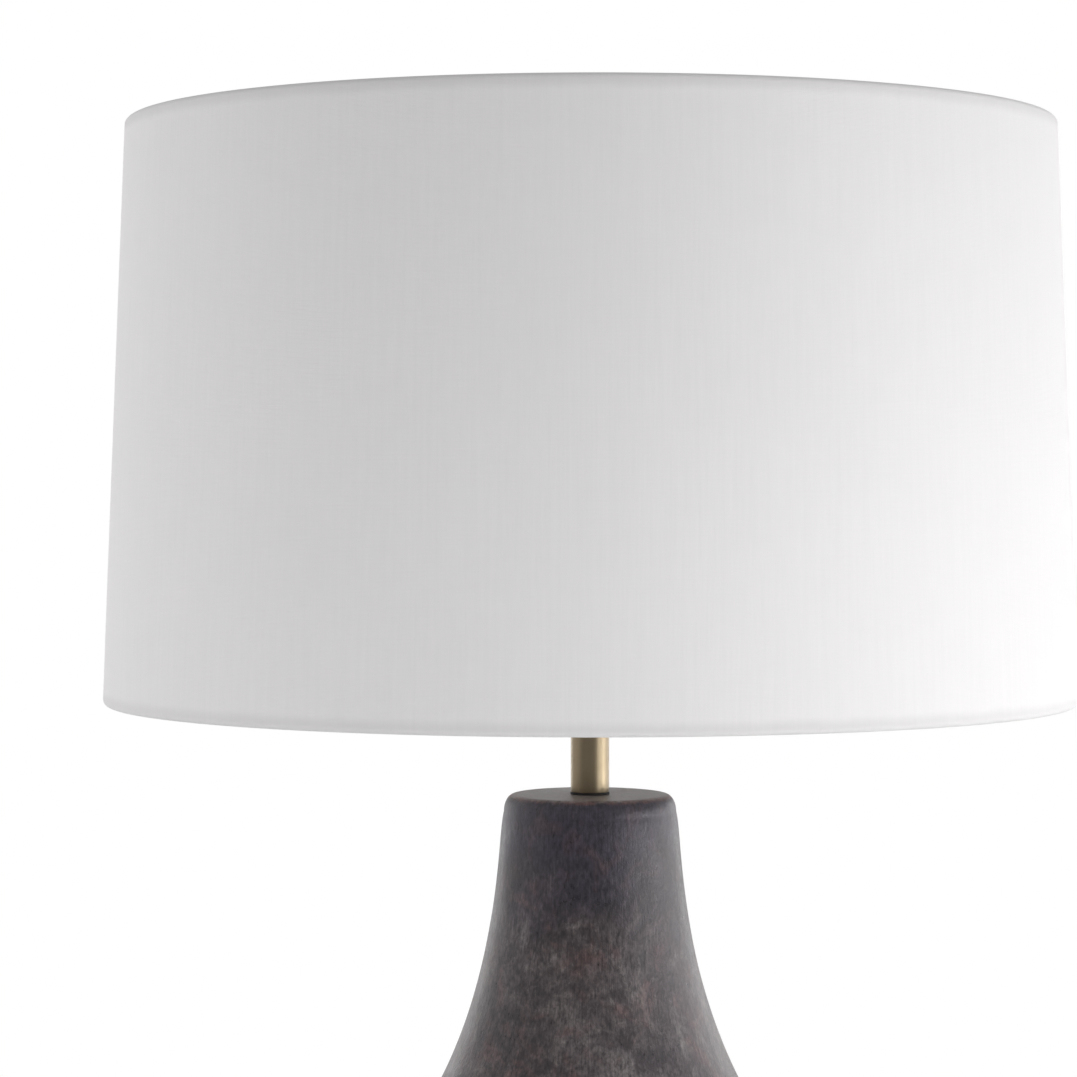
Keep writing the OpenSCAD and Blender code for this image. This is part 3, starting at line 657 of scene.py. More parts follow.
felt_t = high("felt_pad").z
neck_r = high("neck_tube").x
neck_z, neck_top = low("neck_tube").z, high("neck_tube").z
pipe_r = high("threaded_pipe").x
saddle_z = low("harp_saddle").z
wire_r = (high("shade_top_wire").z - low("shade_top_wire").z) / 2
top_wire_z = (high("shade_top_wire").z + low("shade_top_wire").z) / 2
low_wire_z = (high("shade_bottom_wire").z + low("shade_bottom_wire").z) / 2
top_wire_r = high("shade_top_wire").x - wire_r
low_wire_r = high("shade_bottom_wire").x - wire_r
hub_z, hub_t, hub_r = low("spider").z, 2.4, 11.0
shell_r = 16.8
shaft_z = (low("switch_knob").z + high("switch_knob").z) / 2

# ---- body


def cubic(p, t):
    return tuple((1 - t) ** 3 * p[0][k] + 3 * (1 - t) ** 2 * t * p[1][k]
                 + 3 * (1 - t) * t * t * p[2][k] + t ** 3 * p[3][k] for k in (0, 1))


PIPE_BORE = 5.3
WALL = 7
OUTLET_Z = 10
# Where the curve of the neck runs into the curve of the belly
flank = (89.2, top - 169.4)
neck_curve = [(45.3, top - 9), (49.4, top - 24), (flank[0] - 43.23, flank[1] + 70.3), flank]
belly_curve = [flank, (flank[0] + 30.75, flank[1] - 50), (141, 90), (84, 20)]
skin = [(39.7 + 5.6 * sin(radians(a)), top - 9 * (1 - cos(radians(a)))) for a in range(0, 90, 6)]
skin += [cubic(neck_curve, i / 44) for i in range(44)]
skin += [cubic(belly_curve, i / 56) for i in range(55)]
inner = [(r - WALL, z) for r, z in skin[14::3] if 45 < z < top - 12]
body_outline = [(PIPE_BORE, top - 0.4), (5.7, top)] + [(r, top) for r in (8, 16, 24, 32, 37)] + skin
# The foot, the recess under it and the floor inside, then back up the inside
body_outline += rounded([(84.5, 20.6), (84, 19.4, 0.6), (84, 12), (84, felt_t, 1.2),
                         (72, felt_t, 1.0), (72, 10)], loop=False)
body_outline += [(72, 17.2), (71.2, 18), (22.5, 18), (22, 18.5), (22, 26), (75, 26), (77, 28),
                 (80, 38)]
body_outline += inner[::-1] + [(30, top - WALL), (PIPE_BORE, top - WALL)]


def thrown(r, z, a):
    """The slight unevenness of a hand-finished surface."""
    if r < 38 or z < 3:
        return r, z
    p = Vector((cos(a) * r, sin(a) * r, z * 0.8)) * 0.022
    wob = perlin.noise(p) * 0.22 + perlin.noise(p * 3.1) * 0.07
    return r + wob * min(1.0, (z - 3) / 12), z


body = piece("body", revolve(body_outline, 224, shape=thrown), "base", ["lamp_body"],
             unrolled=True, crease=50)
hole = revolve([(0, 66), (5.2, 66), (5.2, 96), (0, 96)], 40)
cut(body, moved(hole, shift(0, 0, OUTLET_Z) @ TO_BACK))


def ragged(r, z, a):
    """The felt's cut edge."""
    if r <= 80:
        return r, z
    return r + 0.12 * perlin.noise(Vector((cos(a) * 30, sin(a) * 30, z))), z


felt_edge = rounded([(0, 0), (81.6, 0, 0.5), (82, 0.8, 0.3), (81.9, felt_t, 0.2), (0, felt_t)])
felt_outline = [(r, 0) for r in range(0, 80, 6)] + felt_edge[1:-1]
felt_outline += [(r, felt_t) for r in range(76, 6, -8)] + [(0, felt_t)]
pad = piece("felt", revolve(felt_outline, 160, shape=ragged), "base", ["felt_pad"])

grommet = rounded([
    (3.6, 69.9, 0.3), (7, 69.9, 0.6), (7, 71.5, 0.3), (5.15, 71.5, 0.2), (5.15, 84.1, 0.2),
    (7, 84.1, 0.2), (7, 85.3, 0.8), (6.2, 85.7, 0.6), (4.4, 85.7, 0.8), (3.6, 85.0, 0.4)])
piece("grommet", revolve(grommet, 64), "base", ["cord_grommet"],
      matrix=shift(0, 0, OUTLET_Z * MM) @ TO_BACK)

# ---- neck, saddle and socket

gasket = rounded([(PIPE_BORE, top), (neck_r + 0.2, top, 0.3), (neck_r + 0.2, neck_z, 0.3),
                  (PIPE_BORE, neck_z)])
piece("neck_washer", revolve(gasket, 96), "base", ["neck_gasket"])

bevel = 0.3
tube = [(neck_r - 1.5, neck_z), (neck_r - 0.5, neck_z)]
tube += arc(neck_r - bevel, neck_z + bevel, bevel, -pi / 2, 0, 6)
tube += ladder(neck_r, neck_z + 3, neck_top - 3, 8)
tube += arc(neck_r - bevel, neck_top - bevel, bevel, 0, pi / 2, 6) + [(neck_r - 1.5, neck_top)]
piece("neck", revolve(tube, 128), "base", ["neck_tube"], "neck_brass", True)

washer = rounded([(PIPE_BORE, neck_top), (11.5, neck_top, 0.35), (11.5, saddle_z, 0.35),
                  (PIPE_BORE, saddle_z)])
piece("cap_washer", revolve(washer, 96), "base", ["neck_cap_washer"])


NUT_FLATS = 15


def hexed(r, z, a):
    """The nut's hexagon, with turned-off corners."""
    part = (a + pi / 6) % (pi / 3) - pi / 6
    return (r if r < NUT_FLATS / 2 - 1 else min(r, NUT_FLATS / 2 / cos(part))), z


corner = NUT_FLATS / 2 / cos(pi / 6)
nut = lifted([(5.15, 0), (6.2, 0), (7.5, 0), (corner, 0.55), (corner, 2.45), (7.5, 3), (6.0, 3),
              (5.15, 2.5)], saddle_z + 1.6)
piece("saddle_nut", revolve(nut, 144, shape=hexed), "base", ["saddle_locknut"], crease=25)

leg_x = 28.6
post_z = saddle_z + 9
arm = bent_path(-leg_x, post_z, 180, [(post_z - saddle_z - 4.6, 0), (3.8, -90)], 10)
across = arm + [(0, saddle_z + 0.8)] + [(-x, z) for x, z in arm[::-1]]


def strap_section(i, n):
    """A flat strap, 13 x 1.6 mm, whose two ends are chamfered."""
    if i in (0, n - 1):
        return oval(5.4, 0.55, 9.0, 44)
    return oval(6.5, 0.8, 9.0, 44)


# A second point close to each end carries the end's chamfer
across = [across[0], (-leg_x, post_z - 0.5)] + across[1:-1] + [(leg_x, post_z - 0.5), across[-1]]
post = revolve(rounded(lifted([(0, -0.6), (2, -0.6), (2, 3.85, 0.5), (0, 3.85)], post_z)), 40)
piece("saddle", merged(
    sweep([(x, 0, z) for x, z in across], strap_section),
    moved(post, shift(leg_x, 0, 0)), moved(post, shift(-leg_x, 0, 0)),
), "base", ["harp_saddle"], crease=30)

cap_z = saddle_z + 4.8
skirt = shell_r + 0.9
cap_bore = pipe_r + 0.02
cap = rounded(lifted([
    (cap_bore, 0), (8.5, 0, 0.5), (8.5, 6, 0.8), (10.2, 7, 1.2), (skirt - 3, 11.8, 2.2),
    (skirt, 15.3, 1.6), (skirt, 17.6, 0.3), (skirt + 0.35, 18.2, 0.3), (skirt, 18.8, 0.3),
    (skirt, 21.8, 0.3), (skirt + 0.35, 22.4, 0.3), (skirt, 23.5, 0.2), (skirt - 0.8, 23.5, 0.2),
    (skirt - 0.8, 15.5), (skirt - 4, 13), (9.5, 8), (cap_bore, 8)], cap_z), 5)
cap_obj = piece("socket_cover", revolve(cap, 128), "base", ["socket_cap"], crease=45)
screw_hole = revolve([(0, 3.5), (1.6, 3.5), (1.6, 13), (0, 13)], 32)
cut(cap_obj, moved(screw_hole, shift(0, 0, cap_z + 3.5) @ turn(90, "Y")))

shell_z, shell_top = low("socket_shell").z, high("socket_shell").z
bead = [(shell_r + 0.45 * sin(pi * k / 8), shell_z + 31 + 2.2 * k / 8) for k in range(9)]
shell = [(shell_r - 0.6, shell_z), (shell_r - 0.1, shell_z), (shell_r, shell_z + 0.3)]
shell += ladder(shell_r, shell_z + 8, shell_z + 30, 6) + bead + [(shell_r, shell_top - 2.2)]
shell += rounded(lifted([
    (shell_r, -1.2), (shell_r + 0.1, -0.9, 0.1), (shell_r + 0.9, -0.9, 0.4), (shell_r + 0.9, 0, 0.4),
    (shell_r - 0.6, 0)], shell_top), loop=False)
shell_obj = piece("socket_skin", revolve(shell, 128), "base", ["socket_shell"], crease=45)
shaft_hole = revolve([(0, 10), (3, 10), (3, 20), (0, 20)], 40)
cut(shell_obj, moved(shaft_hole, shift(0, 0, shaft_z) @ TO_FRONT))


def fluted(r, z, a):
    """Twelve grooves up the knob's side."""
    if r < 4.4 or z < 3.4:
        return r, z
    groove = max(0.0, cos(12 * a)) ** 3
    return r - 0.55 * groove * min(1.0, (z - 3.4) / 1.2), z


knob = rounded([(0, 0), (4.2, 0, 0.3), (4.6, 0.5, 0.2), (4.6, 1.6, 0.4), (4.0, 2.5)], loop=False)
knob += [(4.5, 4.2), (4.75, 5.8), (5.0, 7.6), (5.25, 9.6), (5.45, 11.4)]
knob += rounded([(5.6, 12.8), (5.2, 14.4, 0.6), (4.3, 15, 0.5), (2.6, 15, 0.2), (2.3, 14.7, 0.2),
                 (0, 14.7)], loop=False)
piece("knob", revolve(knob, 240, shape=fluted), "switch", ["switch_knob"],
      matrix=shift(0, -22 * MM, shaft_z * MM) @ TO_FRONT, crease=45)

# ---- bulb

GLASS_T = 0.8
EDISON_PITCH = 3.62
glass_lo, glass_hi = low("bulb_glass"), high("bulb_glass")
# A ball, which a concave bend joins to a straight neck
ball_r, bulb_neck_r, bend_r = 30.0, 12.05, 45.0
ball_z = glass_hi.z - ball_r
reach = bulb_neck_r + bend_r
drop = math.sqrt((ball_r + bend_r) ** 2 - reach ** 2)
touch = math.atan2(drop, reach)


def glass_line(t):
    """The glass's outline, t mm inside its outer face."""
    line = arc(0, ball_z, ball_r - t, pi / 2, -touch, 40)
    line += arc(reach, ball_z - drop, bend_r + t, pi - touch, pi, 14)[1:]
    line[0] = (0.0, line[0][1])
    return line + [(bulb_neck_r - t, glass_lo.z)]


envelope = glass_line(0) + glass_line(GLASS_T)[::-1]
piece("bulb_envelope", revolve(envelope, 112, closed=False), "bulb", ["bulb_glass"], crease=60)

cap_lo, cap_hi = low("bulb_cap").z, high("bulb_cap").z
screw_r, screw_lo, screw_hi = 12.3, cap_lo + 0.7, cap_hi - 2.6
brim = rounded(lifted([(11.7, 1.2), (11.7, 0, 0.3), (screw_r, 0, 0.3), (screw_r, 0.6)], cap_lo),
               loop=False)
brim += ladder(screw_r, screw_lo, screw_hi, 0.22)
brim += rounded(lifted([(12.6, -1.8), (13.35, -1.0, 0.3), (13.35, 0, 0.3), (12.1, 0, 0.1),
                        (12.1, -2), (11.9, -3)], cap_hi), loop=False)
bulb_thread = thread(screw_r, 0.85, EDISON_PITCH, screw_lo, screw_hi)
piece("bulb_screw", revolve(brim, 96, shape=bulb_thread), "bulb", ["bulb_cap"], crease=50)

insulator = rounded(lifted([(2.95, 0), (4.7, 0, 0.2), (8.2, 1.0, 0.6), (11.3, 3.2, 0.8),
                            (11.4, 4.8), (2.95, 4.8)], low("bulb_insulator").z))
piece("bulb_base_glass", revolve(insulator, 72), "bulb", ["bulb_insulator"])

tip = low("bulb_contact").z


def soldered(r, z, a):
    """The tip's slightly uneven solder."""
    if z >= tip + 0.5 or r <= 0.3:
        return r, z
    return r, z + 0.05 * perlin.noise(Vector((cos(a) * r, sin(a) * r, z)))


blob = rounded(lifted([(0, 0), (2.2, 0.02, 0.8), (3.1, 0.6, 0.3), (4.3, 0.75, 0.2), (4.3, 1.2, 0.2),
                       (2.85, 1.2), (2.85, 6), (0, 6)], tip))
piece("bulb_tip", revolve(blob, 48, shape=soldered), "bulb", ["bulb_contact"])

stem_lo, stem_hi = low("bulb_stem").z, high("bulb_stem").z
stem = lifted([(0, 0), (10.5, 0, 0.3), (10.5, 1.1, 0.6), (5, 6.5, 3), (3.4, 14.5, 3),
               (2.2, 22.5, 3)], stem_lo)
stem += lifted([(1.6, -3.2, 1), (2.4, -1.6, 0.6), (1.6, -0.3, 0.5), (0, 0)], stem_hi)
piece("bulb_mount", revolve(rounded(stem), 48), "bulb", ["bulb_stem"])

lead_z, coil_z = low("bulb_filament").z, ball_z + 4
TURNS, STEPS = 46, 10
COIL_HALF, COIL_R, COIL_SAG = 13.2, 0.55, 0.9
parts = []
for side in (-1, 1):
    lead = [(1.2, lead_z), (2.6, lead_z + 3), (12.6, coil_z - 3.2), (13.4, coil_z - 0.8),
            (COIL_HALF, coil_z)]
    parts.append(wire([(side * x, 0, z) for x, z in lead], 0.42, end=0.1))
helix = []
for k in range(TURNS * STEPS + 1):
    t = k / (TURNS * STEPS)
    a = 2 * pi * k / STEPS
    helix.append((COIL_HALF * (2 * t - 1), COIL_R * sin(a),
                  coil_z + COIL_R * cos(a) - COIL_SAG * sin(pi * t)))
parts.append(wire(helix, 0.14, count=6, end=0.02, side=(1, 0, 0)))
for x in (-4.4, 4.4):
    support = [(x * 0.22, 0, stem_hi - 1), (x * 0.7, 0, coil_z - 4), (x, 0, coil_z - 0.9)]
    parts.append(wire(support, 0.12, count=8, end=0.02))
piece("bulb_coil", merged(*parts), "bulb", ["bulb_filament"], crease=60)

# ---- harp

leg_z = low("harp").z
strap_z = high("harp").z - 3
# Each leg runs straight up, leans out, bows back in and bends over into the flat crown
FOOT_RUN, FLAT_HALF, FLAT_T = 26, 10, 3
foot_bend, bow, lean, back_in = 50.0, 130.0, 14.0, 20.0
sin_lean, cos_lean = sin(radians(lean)), cos(radians(lean))
sin_back, cos_back = sin(radians(back_in)), cos(radians(back_in))
crown_z = strap_z + FLAT_T / 2
rise = crown_z - leg_z - FOOT_RUN - foot_bend * sin_lean - bow * (sin_lean + sin_back)
inward = FLAT_HALF - leg_x - foot_bend * (1 - cos_lean) - bow * (cos_back - cos_lean)
crown = rise * sin_lean - inward * cos_lean
crown /= sin_lean * (1 - sin_back) + cos_lean * cos_back
straight = (rise - crown * (1 - sin_back)) / cos_lean
leg = bent_path(leg_x, leg_z, 0, [(FOOT_RUN, 0), (foot_bend, lean), (straight, 0),
                                  (bow, -lean - back_in), (crown, -90 + back_in), (4, 0)], 8)
loop = leg + [(3, crown_z), (0, crown_z), (-3, crown_z)] + [(-x, z) for x, z in leg[::-1]]
loop = [loop[0], (leg_x, leg_z + 0.4)] + loop[1:-1] + [(-leg_x, leg_z + 0.4), loop[-1]]


def harp_section(i, n):
    """Round wire, chamfered at its feet and pressed flat at the crown."""
    if i in (0, n - 1):
        return oval(1.7, 1.7, 2, 28)
    x, z = loop[i]
    k = smooth_step((26 - abs(x)) / 13) if z > strap_z - 14 else 0.0
    return oval(2 + 4 * k, 2 - 0.5 * k, 2 + 3.5 * k, 28)


piece("harp_wire", sweep([(x, 0, z) for x, z in loop], harp_section), "harp", ["harp"], crease=45)

seat = strap_z + 4
STUD_R = 2.8
stud = rounded(lifted([(0, -1.2), (3.2, -1.2, 0.6), (4, -0.5, 0.3), (4, 0, 0.1), (2.5, 0.1),
                       (2.5, 3), (6.5, 3, 0.2), (6.5, 4, 0.2), (5.45, 4.05), (5.45, 6.1, 0.25),
                       (STUD_R, 6.2)], strap_z))
stud += ladder(STUD_R, seat + 2.3, seat + 12.6, 0.13) + [(2.3, seat + 13), (0, seat + 13)]
screwed = thread(STUD_R, 0.36, 0.94, seat + 2.2, seat + 12.7, 0.4)


def stud_thread(r, z, a):
    if abs(r - STUD_R) > 0.01 or z < seat + 2.3:
        return r, z
    return screwed(r, z, a)


piece("harp_screw", revolve(stud, 72, shape=stud_thread), "harp", ["harp_stud"], crease=50)

for name, side in (("ferrule_left", -1), ("ferrule_right", 1)):
    sleeve = rounded(lifted([
        (2.08, 0), (3.1, 0, 0.2), (3.3, 0.3, 0.2), (3.3, 0.9, 0.2), (2.9, 1.5, 0.3), (2.9, 7.5),
        (2.9, 13.5, 0.3), (3.3, 14.1, 0.2), (3.3, 14.7, 0.2), (3.1, 15, 0.2), (2.08, 15)], low(name).z))
    piece(name + "_sleeve", moved(revolve(sleeve, 48), shift(side * leg_x, 0, 0)), name, [name], crease=45)

# ---- spider and rim wires


def weld(r):
    """A lumpy weld bead, longer than it is wide."""
    line = []
    for k in range(15):
        a = pi * k / 14
        line.append((r * sin(a) * (1 + 0.04 * sin(5 * k)), -1.25 * r * cos(a)))
    line[0] = (0, line[0][1])
    line[-1] = (0, line[-1][1])
    return revolve(line, 28, closed=False, shape=lambda r, z, a: (
        r * (1 + 0.10 * perlin.noise(Vector((cos(a) * 2, sin(a) * 2, z)))), z))


hub = rounded(lifted([(5.55, 0, 0.2), (hub_r - 0.2, 0, 0.6), (hub_r, 1.2, 0.5),
                      (hub_r - 0.2, hub_t, 0.6), (7.4, hub_t, 0.3), (5.55, hub_t, 0.25)], hub_z))
parts = [revolve(hub, 96)]
# Each arm runs out level, sags a little, and climbs to the rim wire at 60 degrees
ARM_ANGLES = (90, 210, 330)
CLIMB, ARM_BEND, ARM_SAG = radians(60), 8, 0.25
start, arm_z = hub_r - 2, hub_z + 1.2
climb = (top_wire_z - arm_z - 4) / sin(CLIMB)
level = top_wire_r - wire_r - start - ARM_BEND * sin(CLIMB) - climb * cos(CLIMB) + 0.4
for angle in ARM_ANGLES:
    path = bent_path(start, arm_z, 90, [(level, 0), (ARM_BEND, -60), (climb, 0)], 12)
    sag = [(x, 0, z - ARM_SAG * sin(pi * min(1, (x - start) / level))) for x, z in path]
    parts.append(moved(wire(sag, wire_r), turn(angle)))
    end_x, end_z = path[-1]
    for x, z, r, tilt in ((hub_r + 0.3, arm_z, 2.0, 90), (end_x - 0.2, end_z - 0.2, 2.3, 30)):
        parts.append(moved(weld(r), turn(angle) @ shift(x, 0, z) @ turn(tilt, "Y")))
piece("spider_frame", merged(*parts), "shade", ["spider"], crease=50)

for name, node, r, z in (("top_ring", "shade_top_wire", top_wire_r, top_wire_z),
                         ("bottom_ring", "shade_bottom_wire", low_wire_r, low_wire_z)):
    ring = arc(r, z, wire_r, 0, 2 * pi, 20)[:-1]
    piece(name, revolve(ring, 256), "shade", [node])

# ---- shade

slope = math.atan2(low_wire_r - top_wire_r, top_wire_z - low_wire_z)
CLOTH_T = LINER_T = 0.6
CLOTH_LAP, LINER_LAP = 12, 10
skin_in = wire_r + LINER_T + 0.06
skin_out = skin_in + CLOTH_T
mean_r = (top_wire_r + low_wire_r) / 2
seam = pi / 2
liner_seam = seam + 0.6


def line_r(z):
    """Radius of the cone through the middles of both rim wires."""
    return low_wire_r + (top_wire_r - low_wire_r) * (z - low_wire_z) / (top_wire_z - low_wire_z)


def overlap(along, width, ease, step):
    """How far the sheet stands out at its glued lap, where along is mm past the lap's start."""
    rise = smooth_step((along + ease) / (2 * ease))
    fall = smooth_step((width + ease - along) / (2 * ease))
    return rise * fall * step


def turned_angles(count, edges, width, fine):
    """Even angles, with closer ones round each edge."""
    found = {round(2 * pi * i / count, 6) for i in range(count)}
    for e in edges:
        found = {a for a in found if abs(a - e) > width * 0.9}
        found |= {round(e + width * (2 * k / fine - 1), 6) for k in range(fine + 1)}
    return sorted(found)


cloth_angles = turned_angles(420, (seam, seam + CLOTH_LAP / mean_r), 3 / mean_r, 12)


def cloth_shape(r, z, a):
    """The glued lap at the back, and the slight waves of a hand-covered shade."""
    over = overlap((a - seam) * mean_r, CLOTH_LAP, 0.35, 0.42)
    wave = perlin.noise(Vector((cos(a), sin(a), z / 330)) * 2.6) * 0.14
    wave += perlin.noise(Vector((cos(a) * 9, sin(a) * 9, z / 260))) * 0.05
    if r <= line_r(z):
        return r + (over + wave) * 0.3, z
    pucker = 0.0
    if z > top_wire_z - 9 or z < low_wire_z + 9:
        # Faint puckers where the cloth turns over the rims
        pucker = 0.07 * perlin.noise(Vector((cos(a) * 46, sin(a) * 46, z * 0.2)))
    return r + over + wave + pucker, z


def roll(radius, r0, z0, start):
    """The cloth's half turn round a rim wire, starting at an angle from the slope of the side."""
    return arc(r0, z0, radius, slope + start, slope + start + pi, 14)


def side_points(radius, count):
    """Up the side, between the rolls, at radius from the wires' cone."""
    z0, z1 = low_wire_z + 3, top_wire_z - 3
    heights = [z0 + (z1 - z0) * i / count for i in range(count + 1)]
    return [(line_r(z) + radius / cos(slope), z) for z in heights]


# The cloth turned in over each wire is glued back against the liner
tuck_top, tuck_low = top_wire_z - 8, low_wire_z + 8
glued = wire_r - 0.04


def tuck(z, end, depth):
    """The turned-in cloth, from the roll round a wire at height z to its edge, depth mm in."""
    way = 1 if end > z else -1
    return [(line_r(z) - skin_in - depth, z + way * 0.7),
            (line_r(z) - skin_in * 0.82 - depth, z + way * 1.6),
            (line_r(z) + glued - 0.9 - depth, end - way * 1.8),
            (line_r(end) + glued - depth, end)]


outer = tuck(low_wire_z, tuck_low, CLOTH_T)[::-1] + roll(skin_out, low_wire_r, low_wire_z, pi)
outer += side_points(skin_out, 60) + roll(skin_out, top_wire_r, top_wire_z, 0)
outer += tuck(top_wire_z, tuck_top, CLOTH_T)
inside = tuck(low_wire_z, tuck_low, 0)[::-1] + roll(skin_in, low_wire_r, low_wire_z, pi)
inside += side_points(skin_in, 30) + roll(skin_in, top_wire_r, top_wire_z, 0)
inside += tuck(top_wire_z, tuck_top, 0)
cover = piece("shade_cover", revolve(outer + inside[::-1], shape=cloth_shape, angles=cloth_angles),
              "shade", ["shade_fabric"], unrolled=True, crease=60)
# Notches in the turned-in cloth, which the spider's arms pass through
notch = box_part(top_wire_r - 9, top_wire_r + 1, -wire_r - 0.4, wire_r + 0.4,
                 top_wire_z - 9, top_wire_z + skin_in * 0.6)
cut(cover, *[moved(notch, turn(a)) for a in ARM_ANGLES])

liner_lo, liner_hi = low("shade_liner").z, high("shade_liner").z


def liner_shape(r, z, a):
    """The liner's lap, which stands inwards."""
    if r >= line_r(z) + wire_r + 0.2:
        return r, z
    return r - overlap((a - liner_seam) * mean_r, LINER_LAP, 0.3, 0.35), z


heights = [liner_lo + (liner_hi - liner_lo) * i / 24 for i in range(25)]
liner = [(line_r(z) + wire_r + 0.03, z) for z in heights]
liner += [(line_r(z) + wire_r + LINER_T, z) for z in heights[::-1]]
liner_angles = turned_angles(300, (liner_seam, liner_seam + LINER_LAP / mean_r), 3 / mean_r, 10)
piece("shade_backing", revolve(liner, shape=liner_shape, angles=liner_angles), "shade",
      ["shade_liner"], unrolled=True, crease=50)

# ---- finial

fz = low("finial").z
KNOB_R = 7.5
knob_z = high("finial").z - KNOB_R
turned = rounded(lifted([(3.25, 0), (7.3, 0, 0.3), (7.85, 0.4)], fz), loop=False)
turned += ladder(7.95, fz + 0.7, fz + 1.9, 0.2)
turned += rounded(lifted([(7.7, 2.3), (7.0, 2.9, 0.3), (5.6, 3.4, 0.6), (4.7, 5.2, 1.0),
                          (4.05, 8.4, 1.2), (4.35, 10.0, 0.4), (5.1, 10.5, 0.4), (5.1, 11.3, 0.4),
                          (4.4, 11.9)], fz), 5, False)
turned += arc(0, knob_z, KNOB_R, math.asin((fz + 12.2 - knob_z) / KNOB_R), pi / 2, 26)
turned[-1] = (0, knob_z + KNOB_R)
turned += [(0, fz + 12.4), (3.25, fz + 12.4)]


def knurled(r, z, a):
    if r < 7.9 or z > fz + 2.1:
        return r, z
    return r - 0.16 * (0.5 + 0.5 * cos(56 * a)), z


piece("finial_knob", revolve(turned, 336, shape=knurled), "finial", ["finial"], crease=45)

# ---- remaining CAD nodes

for name, obj in frame["nodes"].items():
    if obj.hide_render:
        continue
    if not obj.material_slots:
        obj.data.materials.append(materials[slots[name]])
    for place in obj.material_slots:
        place.material = materials[slots[name]]

# ---- floor and light

# A pale disc that fades out into the white background, and can't be seen from below
ground = Shader("floor")
centre = ground.add("VectorMath", {0: ground.coord.outputs["Object"]}, operation="LENGTH").outputs[1]
pale = ground.spread(ground.noise(60, 3, 0.5), 0.3, 0.7)
ground.set(Base_Color=ground.mix(pale, (0.86, 0.86, 0.86), (0.88, 0.88, 0.88)), Roughness=0.6,
           Specular_IOR_Level=0.2)
gone = ground.math("MAXIMUM", ground.spread(centre, 0.9, 1.35, 0.0, 1.0, True),
                   ground.add("NewGeometry").outputs["Backfacing"])
both = ground.add("MixShader", {0: gone, 1: ground.bsdf.outputs[0],
                                2: ground.add("BsdfTransparent").outputs[0]})
ground.put(ground.tree.nodes["Material Output"].inputs["Surface"], both.outputs[0])
SPOKES = 96
rings = [0.1, 0.2, 0.4, 0.7, 1.0, 1.4]
points = [(0, 0, 0)]
for r in rings:
    points += [(r * cos(2 * pi * k / SPOKES), r * sin(2 * pi * k / SPOKES), 0) for k in range(SPOKES)]
faces = [(0, 1 + k, 1 + (k + 1) % SPOKES) for k in range(SPOKES)]
for j in range(len(rings) - 1):
    a, b = 1 + j * SPOKES, 1 + (j + 1) * SPOKES
    faces += [(a + k, b + k, b + (k + 1) % SPOKES, a + (k + 1) % SPOKES) for k in range(SPOKES)]
floor_mesh = bpy.data.meshes.new("floor")
floor_mesh.from_pydata(points, [], faces)
floor_mesh.materials.append(ground.material)
floor = bpy.data.objects.new("floor", floor_mesh)
floor.location = (0, 0, -0.0002)
scene.collection.objects.link(floor)

world = bpy.data.worlds.new("studio")
scene.world = world
world.use_nodes = True
world.node_tree.nodes.clear()
sky = Nodes(world.node_tree)
direction = sky.coord.outputs["Generated"]


def facing(way):
    """How far the sky's direction points the same way, from -1 to 1."""
    return sky.add("VectorMath", {0: direction, 1: way}, operation="DOT_PRODUCT").outputs["Value"]


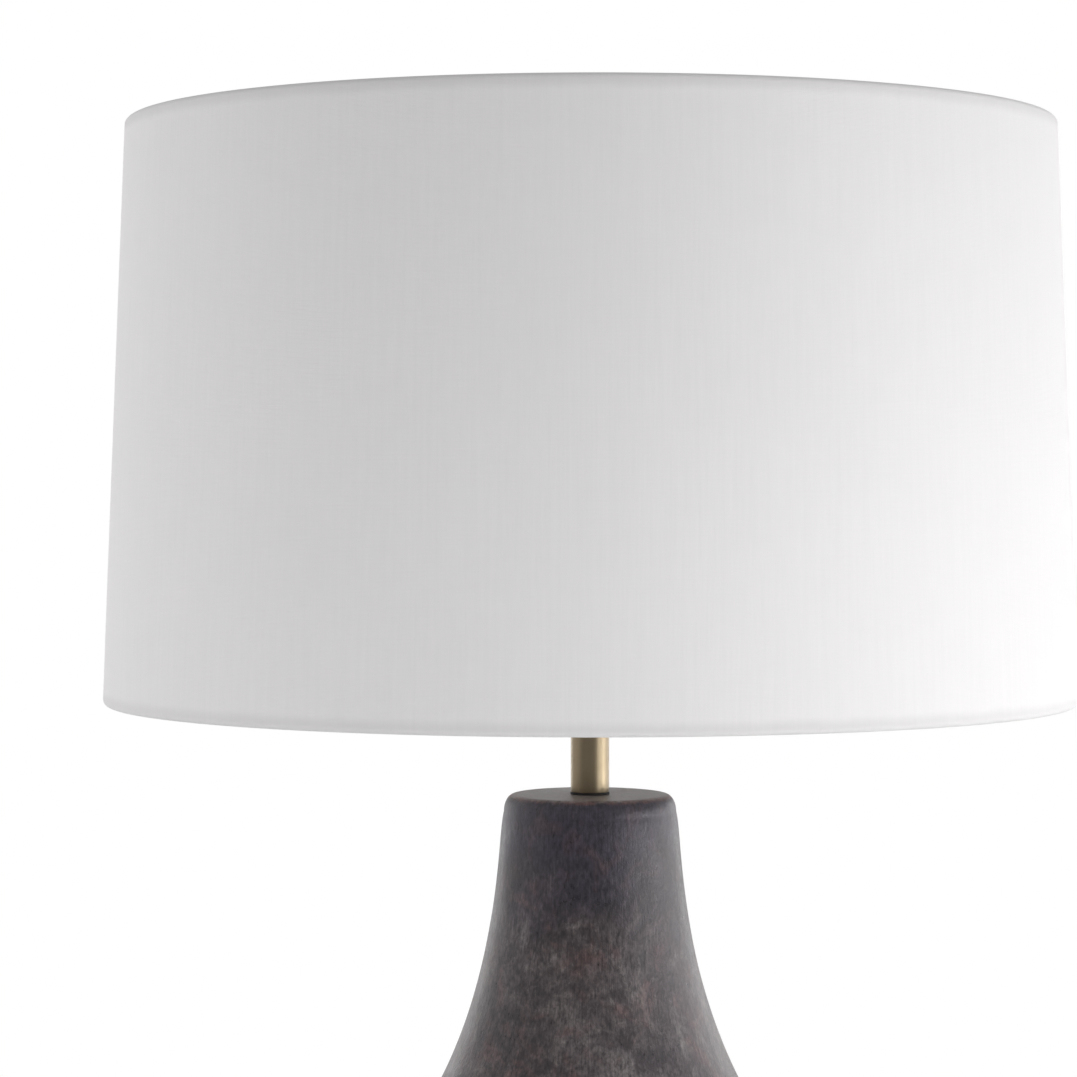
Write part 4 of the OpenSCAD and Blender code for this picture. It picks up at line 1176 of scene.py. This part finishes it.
# Light from all round, brightest from behind at the right and dimmest from the camera's left. A
# flag darkens it in front near the horizon, and it falls off overhead and straight behind.
bright_way = Vector((0.438, 0.899, -0.12)).normalized()
toward = sky.add("SeparateXYZ", {0: direction}).outputs
strength = sky.spread(facing(bright_way), -0.6, 0.5, 0.68, 0.93, True)
flag = sky.spread(sky.math("ABSOLUTE", toward[2]), 0.12, 0.42, 1.0, 0.0, True)
flag = sky.times(sky.spread(facing((-0.20, -0.98, 0.0)), 0.35, 0.85, 0.0, 0.62, True), flag)
overhead = sky.spread(toward[2], 0.15, 0.9, 1.0, 0.58, True)
behind = sky.spread(toward[1], 0.1, 0.9, 1.0, 0.84, True)
strength = sky.times(strength, sky.math("SUBTRACT", 1.0, flag))
strength = sky.times(strength, sky.times(overhead, behind))
# The camera itself sees plain white
glow = sky.add("Background", {"Color": (1, 0.995, 0.995, 1), "Strength": strength})
white = sky.add("Background", {"Color": (1, 1, 1, 1), "Strength": 1.0})
seen = sky.add("LightPath").outputs["Is Camera Ray"]
mixed = sky.add("MixShader", {0: seen, 1: glow.outputs[0], 2: white.outputs[0]})
sky.put(sky.add("OutputWorld").inputs[0], mixed.outputs[0])


def area(name, azimuth, height, distance, size, power, aim=0.45, shines=True, spread=180,
         lights=True):
    """A soft box, aimed at the lamp's axis. Azimuth 0 is the camera's side and 90 the right. One
    that doesn't shine leaves no reflection, and one that doesn't light is only a reflection."""
    data = bpy.data.lights.new(name, "AREA")
    data.shape = "RECTANGLE"
    data.size, data.size_y = size
    data.energy = power
    data.spread = radians(spread)
    obj = bpy.data.objects.new(name, data)
    a = radians(azimuth)
    obj.location = (distance * sin(a), -distance * cos(a), height)
    obj.rotation_mode = "QUATERNION"
    obj.rotation_quaternion = (Vector((0, 0, aim)) - obj.location).to_track_quat("-Z", "Y")
    obj.visible_camera = False
    obj.visible_glossy = shines
    obj.visible_diffuse = lights
    scene.collection.objects.link(obj)


area("key", 58, 0.42, 2.2, (0.9, 1.5), 7)
area("low_key", 52, 0.15, 1.2, (0.9, 0.22), 0.5, 0.5, False, 70)
area("rim_right", 142, 0.45, 2.0, (0.4, 1.6), 4.5)
area("low_right", 86, 0.18, 1.1, (0.5, 0.25), 0.5, 0.38, True, 90)
area("strip_right", 104, 0.35, 2.2, (1.7, 1.3), 9, 0.4, True, 180, False)
area("fill_left", -88, 0.4, 2.0, (0.6, 1.6), 7, 0.45, False)
area("rim_left", -146, 0.45, 2.0, (0.4, 1.6), 3.5)
area("low_left", -44, 0.14, 1.2, (0.9, 0.22), 0.2, 0.5, False, 70)
area("low_front", 8, 0.13, 1.2, (0.9, 0.22), 0.25, 0.5, False, 70)
scene.view_settings.view_transform = "Standard"
scene.view_settings.look = "None"
